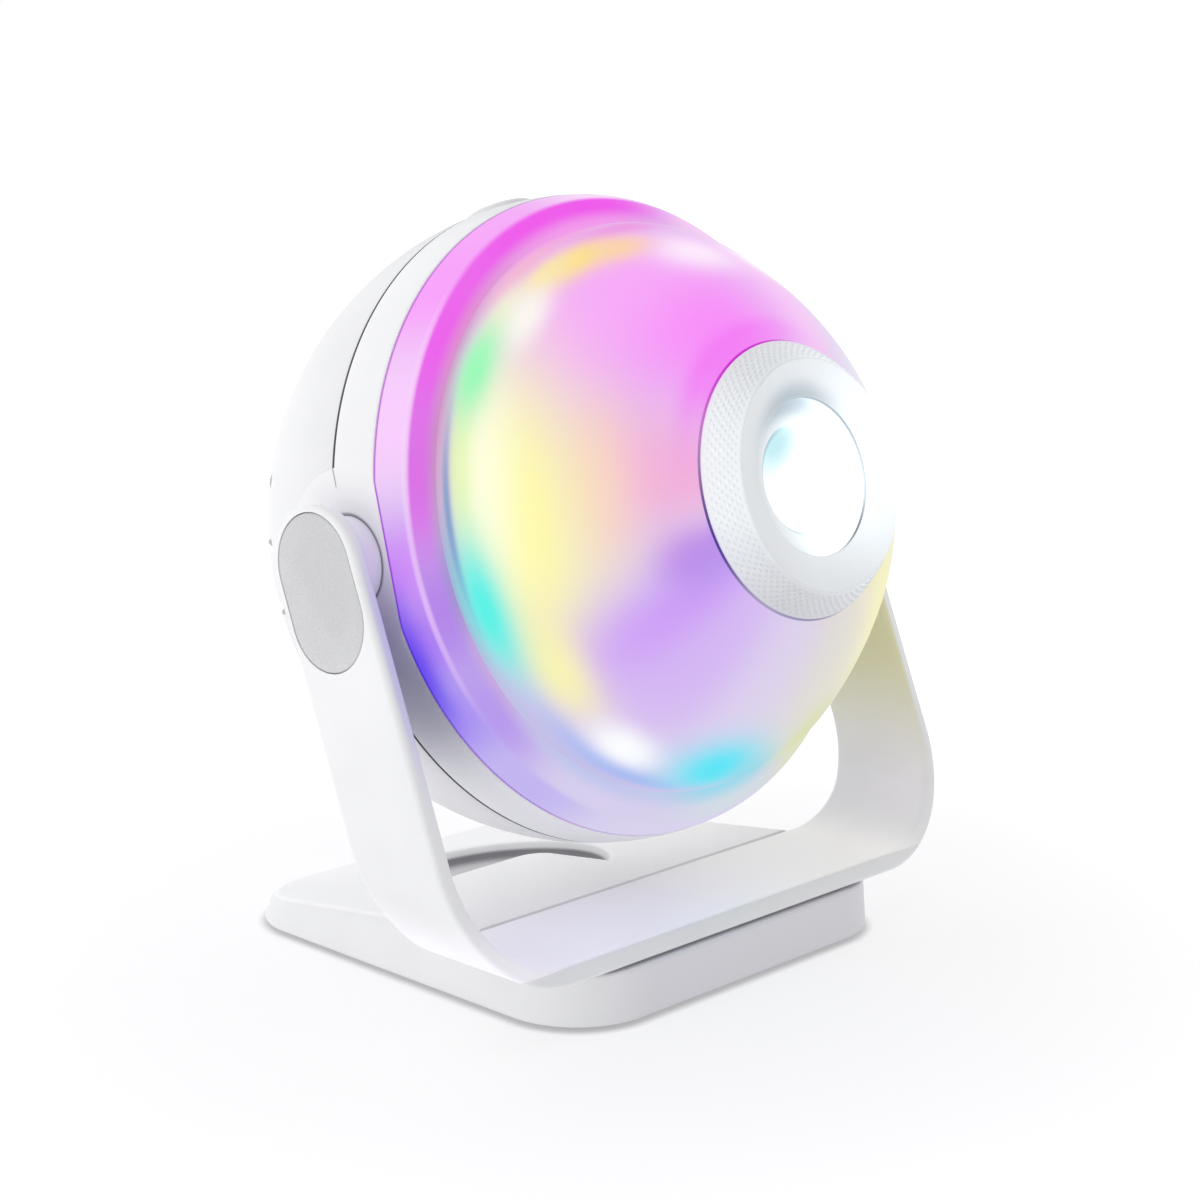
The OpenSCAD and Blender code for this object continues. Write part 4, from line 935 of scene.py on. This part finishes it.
# A painted shadow line on the dome's seat, just round the focus ring's rear edge: magenta, dark violet and grey-violet
# in turn
SHADOW_LINE_GLOWS = [("C41EC8", 110, 65, 58, 90, 1.0), ("362A86", 196, 65, 34, 90, 1.0), ("8C84A8", 262, 65, 30, 90, 1.0)]
dome_field = light_field("light on the dome", "DBD0EC", DOME_GLOWS)
shadow_line_field = light_field("painted shadow line under the focus ring", "C8C4CC", SHADOW_LINE_GLOWS)
dome_opal, tree, shader, here = finish("lit opal dome", Coat_Roughness=0.15, Emission_Strength=0.98, **LIT_OPAL)
angle, far, level = round_axis(tree, in_head_frame(tree, here))
line = product(tree, ramp(tree, far, 31.35, 31.0), ramp(tree, level, 65.0, 65.6), 0.9)
colour = blended(tree, line, lit(tree, dome_field, angle, level), lit(tree, shadow_line_field, angle, level))
glowing(tree, shader, here, colour, 45.0, 0.15, 0.24, 0.015)
dress(dome, dome_opal, "head", "dome_diffuser", "dome_diffuser")

# ---------------------------------------------------------------------------
# Focus ring: a light grey moulding with a knurled cone of small pimples and a
# smooth dish round the lens. It turns on the barrel.

FOCUS_R, FOCUS_FRONT_R, FOCUS_Z, FOCUS_FRONT_Z, EYE_R, EYE_Z = 30.8, 25.9, 66.1, 73.4, 17.5, 70.9
PIMPLES, PIMPLE_ROWS, PIMPLE_H = 88, 4.5, 0.5
BORE_R, GROOVE_R, SKIRT_R = 24.05, 25.4, 27.5


def knurled_cone(columns):
    """The cone between its rear and front edges. Pimples stand on it in rows, every second row moved by half a pitch:
    the height is the eighth power of the larger of two products, of cosines and of sines, and fades out towards both
    edges."""
    t = np.linspace(0, 1, 73)[:, None]
    a = np.linspace(0, 2 * math.pi, columns, endpoint=False)[None, :]
    low, high = np.array([FOCUS_R, FOCUS_Z + 0.55]), np.array([FOCUS_FRONT_R + 0.28, FOCUS_FRONT_Z - 0.42])
    row = t * PIMPLE_ROWS
    peak = np.cos(a * PIMPLES / 2) * np.cos(math.pi * row)
    other = np.sin(a * PIMPLES / 2) * np.sin(math.pi * row)
    lattice = np.maximum(np.abs(peak), np.abs(other)) ** 8
    fade = np.clip(np.minimum(t, 1 - t) * 9, 0, 1)
    height = PIMPLE_H * lattice * fade - 0.1 * fade
    slant = (high - low) / np.linalg.norm(high - low)
    out = np.array([slant[1], -slant[0]])
    r = low[0] + (high[0] - low[0]) * t + out[0] * height
    z = low[1] + (high[1] - low[1]) * t + out[1] * height
    return np.stack([r * np.cos(a), r * np.sin(a), z], -1)


# From the cone's front edge over the rim, down the dish into the eye, along the bore and its groove, and back outside
focus_profile = [
    [[FOCUS_FRONT_R + 0.1, FOCUS_FRONT_Z - 0.12], [FOCUS_FRONT_R - 0.12, FOCUS_FRONT_Z]],
    [[FOCUS_FRONT_R - 0.28, FOCUS_FRONT_Z - 0.02]],
    bezier(
        (FOCUS_FRONT_R - 0.45, FOCUS_FRONT_Z - 0.1),
        (FOCUS_FRONT_R - 3.2, FOCUS_FRONT_Z - 1.35),
        (EYE_R + 2.8, EYE_Z + 0.15),
        (EYE_R + 0.15, EYE_Z),
        16,
    ),
    [[EYE_R, EYE_Z - 0.12], [EYE_R, 70.0], [EYE_R, 69.5], [BORE_R, 69.4]],
    [[BORE_R, 62.3], [GROOVE_R, 62.3], [GROOVE_R, 60.2], [BORE_R, 60.2]],
    [[BORE_R, 57.5], [SKIRT_R, 57.5], [SKIRT_R, 66.1]],
    [[FOCUS_R - 0.3, FOCUS_Z], [FOCUS_R - 0.06, FOCUS_Z + 0.08], [FOCUS_R, FOCUS_Z + 0.3]],
]
columns = PIMPLES * 8
focus_grid = np.concatenate([knurled_cone(columns), turned(np.concatenate(focus_profile), columns)])
focus = joined("focus_ring_face", (at_head(focus_grid), True))

focus_plastic = plastic("light grey focus plastic", "E7E8E9", "ECEDED", 0.34, 0.42, bump=0.03)
tree, shader, colour, here = paints(focus_plastic)
local = in_head_frame(tree, here)
x, y, z = xyz(tree, local)
angle, far, level = round_axis(tree, local)
# The lens throws light on its right side of the ring and into the eye
off_light = sums(tree, "DIVIDE", vector(tree, "DISTANCE", local, (16.0, 1.0, 70.0)), 25.0)
spill = product(tree, sums(tree, "EXPONENT", product(tree, off_light, off_light, -1.0)), 0.5)
eye = product(tree, ramp(tree, level, 70.9, 70.2), ramp(tree, far, 24.6, 24.2))
spill = sums(tree, "ADD", spill, product(tree, eye, ramp(tree, x, -15.0, 10.0, 0.02, 0.45)))
# The cone's lower side lies in shade
cone = ramp(tree, far, FOCUS_FRONT_R - 0.6, FOCUS_FRONT_R + 0.4)
colour = blended(tree, product(tree, cone, ramp(tree, y, 4.0, -26.0, 0.0, 0.42)), colour, tone("9A9AA4"))
# A shadow line runs round the eye, darkest at its lower right
RIM_GLOWS = [("2C3034", 312, 70, 22, 40, 1.0), ("8E9CA4", 50, 70, 40, 40, 1.0)]
rim_field = light_field("shadow line at the eye", "DDE4E8", RIM_GLOWS)
rim = product(tree, ramp(tree, level, 70.92, 70.80), ramp(tree, level, 70.1, 70.3), ramp(tree, far, 17.85, 17.6))
colour = blended(tree, product(tree, rim, 0.9), colour, lit(tree, rim_field, angle, level))
spill = product(tree, spill, ramp(tree, rim, 0.0, 1.0, 1.0, 0.15))
# A painted light brightens the cone's left side
spill = sums(tree, "ADD", spill, product(tree, cone, ramp(tree, x, -12.0, -30.0, 0.0, 0.13)))
# A cool shade lies over the eye's upper side
COOL_GLOWS = [("7A7A7A", 122, 22, 60, 7, 1.0), ("FFFFFF", 97, 17.4, 44, 3.8, 1.0)]
cool = lit(tree, light_field("cool shade over the eye", "000000", COOL_GLOWS), angle, far)
feed(tree, shader, Base_Color=blended(tree, product(tree, cool, 0.6), colour, tone("94ACBA")))
shine(tree, shader, product(tree, spill, ramp(tree, cool, 0.0, 1.0, 1.0, 0.4)), tone("EAF7FF"))
dress(focus, focus_plastic, "focus", "focus_ring", "focus_ring", angle=50)

# ---------------------------------------------------------------------------
# Objective lens: a glass lens with a spherical front in the light grey
# carrier, lit from behind by the projector's own light.

LENS_R, LENS_CURVE, LENS_FACE_R, SEAT_R, SEAT_Z = 13.35, 36.0, 12.55, 12.6, 66.1
apex = SEAT_Z - 0.02 + LENS_CURVE - math.sqrt(LENS_CURVE**2 - SEAT_R**2)
q = np.linspace(0, math.asin(LENS_FACE_R / LENS_CURVE), 24)
lens_front = np.c_[LENS_CURVE * np.sin(q), apex - LENS_CURVE * (1 - np.cos(q))]
edge_z = lens_front[-1, 1]
lens_edge = [[LENS_R - 0.15, edge_z - 0.45], [LENS_R, edge_z - 0.7], [LENS_R, edge_z - 2.6]]
lens_back = lens_front * [1.0, 0.0] + [0.0, 2 * (edge_z - 1.9)] - lens_front * [0.0, 1.0]
lens_profile = np.concatenate([lens_front, lens_edge, lens_back[::-1]])
lens = joined("objective_lens_glass", at_head(turned(lens_profile, 144)))
lens_glass, tree, shader, here = finish(
    "lit lens glass", Roughness=0.06, Coat_Weight=1.0, Coat_Roughness=0.03, Emission_Strength=1.0
)
angle, far, level = round_axis(tree, in_head_frame(tree, here))
# A painted cool shade on the lens's upper left, and a darker line along its left rim
cool_shade_patch = glow_mask(tree, angle, far, 126.0, 10.6, 50.0, 5.6, 0.92)
left_side = ramp(tree, sums(tree, "ABSOLUTE", turn_from(tree, angle, 190.0)), 105.0, 60.0)
lens_rim = product(tree, ramp(tree, far, 11.2, 11.8), left_side, 0.7)
colour = blended(tree, cool_shade_patch, WHITE, tone("9CC8CE"))
colour = blended(tree, lens_rim, colour, tone("8496A0"))
feed(tree, shader, Emission_Color=colour, Base_Color=blended(tree, 0.5, colour, (0.1, 0.1, 0.1, 1.0)))
dress(lens, lens_glass, "carrier", "lens_glass", "objective_lens")

# ---------------------------------------------------------------------------
# Power button: a round white push button with a soft edge, at the top of the
# rear housing.


def rounded(corners, steps=6, run=2.5):
    """A closed path through corners (u, v, radius), each rounded by an arc that touches both its sides. The straight
    parts are cut into runs of at most the given length."""
    p = np.array([c[:2] for c in corners], float)
    pieces = []
    for k, (*_, radius) in enumerate(corners):
        here, before, after = p[k], p[k - 1], p[(k + 1) % len(p)]
        if radius <= 0:
            pieces.append(here[None])
            continue
        a, b = (before - here) / math.dist(before, here), (after - here) / math.dist(after, here)
        half = math.acos(max(-1, min(1, float(a @ b)))) / 2
        middle = here + (a + b) / np.linalg.norm(a + b) * radius / math.sin(half)
        first, last = here + a * radius / math.tan(half) - middle, here + b * radius / math.tan(half) - middle
        whole = math.pi - 2 * half
        t = np.linspace(0, 1, steps)[:, None]
        pieces.append(middle + (np.sin((1 - t) * whole) * first + np.sin(t * whole) * last) / math.sin(whole))
    out = []
    for k, piece in enumerate(pieces):
        out.append(piece)
        gap = pieces[(k + 1) % len(pieces)][0] - piece[-1]
        cuts = int(np.linalg.norm(gap) // run)
        if cuts:
            out.append(piece[-1] + gap * np.linspace(0, 1, cuts + 2)[1:-1, None])
    return np.concatenate(out)


BUTTON_FOOT_R, BUTTON_TOP = 9.45, 78.39
button_corners = [
    (0.0, HEAD_R - 4.4, 0),
    (3.0, HEAD_R - 4.4, 0),
    (BUTTON_FOOT_R, HEAD_R - 4.6, 0.1),
    (BUTTON_FOOT_R, HEAD_R - 3.9, 0.1),
    (BUTTON_R, HEAD_R - 3.8, 0),
    (BUTTON_R, BUTTON_TOP, 0.75),
    (0.0, BUTTON_TOP + 0.31, 0),
]
button_profile = rounded(button_corners)
way, across = np.array(button_way), np.array([1.0, 0.0, 0.0])
fore = np.cross(way, across)
a = np.linspace(0, 2 * math.pi, 144, endpoint=False)[None, :, None]
r, h = button_profile[:, :1, None], button_profile[:, 1:, None]
button_grid = head_middle + way * h + r * (np.cos(a) * across + np.sin(a) * fore)
dress(joined("power_button_cap", at_head(button_grid)), shaded_rear_white, "button", "white_housing", "power_button")

# ---------------------------------------------------------------------------
# Parts that keep their CAD shape: the hubs, the cover, the foot pad, the inlet
# and everything inside the head get their own finishes.


def metal(name, dark, light, smooth, rough, stretch=(60.0, 60.0, 2500.0)):
    """Worked metal: fine drawn lines in tone, gloss and height."""
    made, tree, shader, here = finish(name, Metallic=1.0)
    lines = noise(tree, put(tree, "ShaderNodeMapping", here, None, None, stretch).outputs[0], 1.0, 3.0, 0.6)
    feed(tree, shader, Base_Color=blended(tree, lines, tone(dark), tone(light)))
    feed(tree, shader, Roughness=ramp(tree, lines, 0.3, 0.7, smooth, rough))
    relief(tree, shader, lines, 0.05, 0.0001)
    return made


def board(name, mask, track):
    """A printed circuit board: solder mask over raised tracks, laid out by a cell pattern."""
    made, tree, shader, here = finish(name, Roughness=0.35, Coat_Weight=0.3)
    cells = put(tree, "ShaderNodeTexVoronoi", here, None, 260.0, distance="MANHATTAN", feature="F1").outputs[0]
    lines = ramp(tree, sums(tree, "SINE", cells), 0.2, 0.5)
    feed(tree, shader, Base_Color=blended(tree, lines, tone(mask), tone(track)))
    relief(tree, shader, lines, 0.2, 0.0001)
    return made


# The hubs' lilac tint and faint glow are painted light
hub_painted_glow = {"Emission_Color": (0.075, 0.072, 0.09, 1.0), "Emission_Strength": 1.0}
lit_hub_white = plastic("white hub plastic with painted light", "E2DFEC", "E8E6F0", 0.42, 0.48, Specular_IOR_Level=0.25, **hub_painted_glow)
steel = metal("plated steel", "9A9C9F", "C4C6C9", 0.22, 0.34)
aluminium = metal("extruded aluminium", "B4B6B8", "D4D5D7", 0.30, 0.42, (2200.0, 60.0, 60.0))
rubber = plastic("dark foot rubber", "29292B", "323234", 0.75, 0.85, grain=1500.0, bump=0.3)
cover_grey = plastic("grey cover plastic", "BEBEC0", "C6C6C8", 0.5, 0.58)
ivory = plastic("ivory bearing plastic", "DCD8C6", "E4E0D0", 0.3, 0.38, bump=0.03)
natural = plastic("natural white plastic", "D8D8D6", "E0E0DE", 0.45, 0.52)
black = plastic("black plastic", "131315", "1B1B1D", 0.5, 0.6, bump=0.15)
green_board = board("green circuit board", "0A4426", "1C6A40")
white_board = board("white circuit board", "DCDEDC", "EDEFEC")

lamp_chip, tree, shader, here = finish("lit light chip", Roughness=0.3, Emission_Strength=1.0)
chip_dots = put(tree, "ShaderNodeTexVoronoi", here, None, 420.0).outputs[0]
chip_colour = blended(tree, ramp(tree, chip_dots, 0.2, 0.6), tone("FFF3C4"), WHITE)
feed(tree, shader, Emission_Color=chip_colour, Base_Color=chip_colour)

clear_glass, tree, shader, here = finish("condenser glass", Transmission_Weight=1.0, IOR=1.5)
glass_cloud = noise(tree, here, 300.0)
feed(tree, shader, Roughness=ramp(tree, glass_cloud, 0.3, 0.7, 0.01, 0.04))
feed(tree, shader, Base_Color=blended(tree, glass_cloud, tone("F4FAFA"), WHITE))

star_film, tree, shader, here = finish("star film", Roughness=0.15, Coat_Weight=0.5)
stars = ramp(tree, put(tree, "ShaderNodeTexVoronoi", here, None, 520.0).outputs[0], 0.16, 0.10)
film = blended(tree, ramp(tree, noise(tree, here, 70.0, 4.0, 0.6), 0.4, 0.7), tone("070A1C"), tone("3A1F66"))
feed(tree, shader, Base_Color=blended(tree, stars, film, tone("E8F0FF")))

FINISHES = {
    lit_hub_white: "hub_left hub_right",
    cover_grey: "base_cover",
    rubber: "foot_pad",
    steel: "ballast cover_screws bar_screws spring_washers hub_nuts pivot_screws housing_screws small_screws "
    "wheel_motor usb_inlet motor_shaft drive_pin",
    ivory: "bush_left bush_right wheel_hub",
    natural: "inner_frame",
    white_board: "led_board",
    green_board: "main_board inlet_board button_board",
    lamp_chip: "ring_leds dome_leds projector_led",
    aluminium: "heat_sink",
    black: "condenser_tube barrel board_parts tact_switch lens_retainer",
    clear_glass: "condenser_lens",
    star_film: "star_disc",
    focus_plastic: "lens_carrier",
}
for material, names in FINISHES.items():
    for name in names.split():
        for slot in cad[name].material_slots:
            slot.material = material
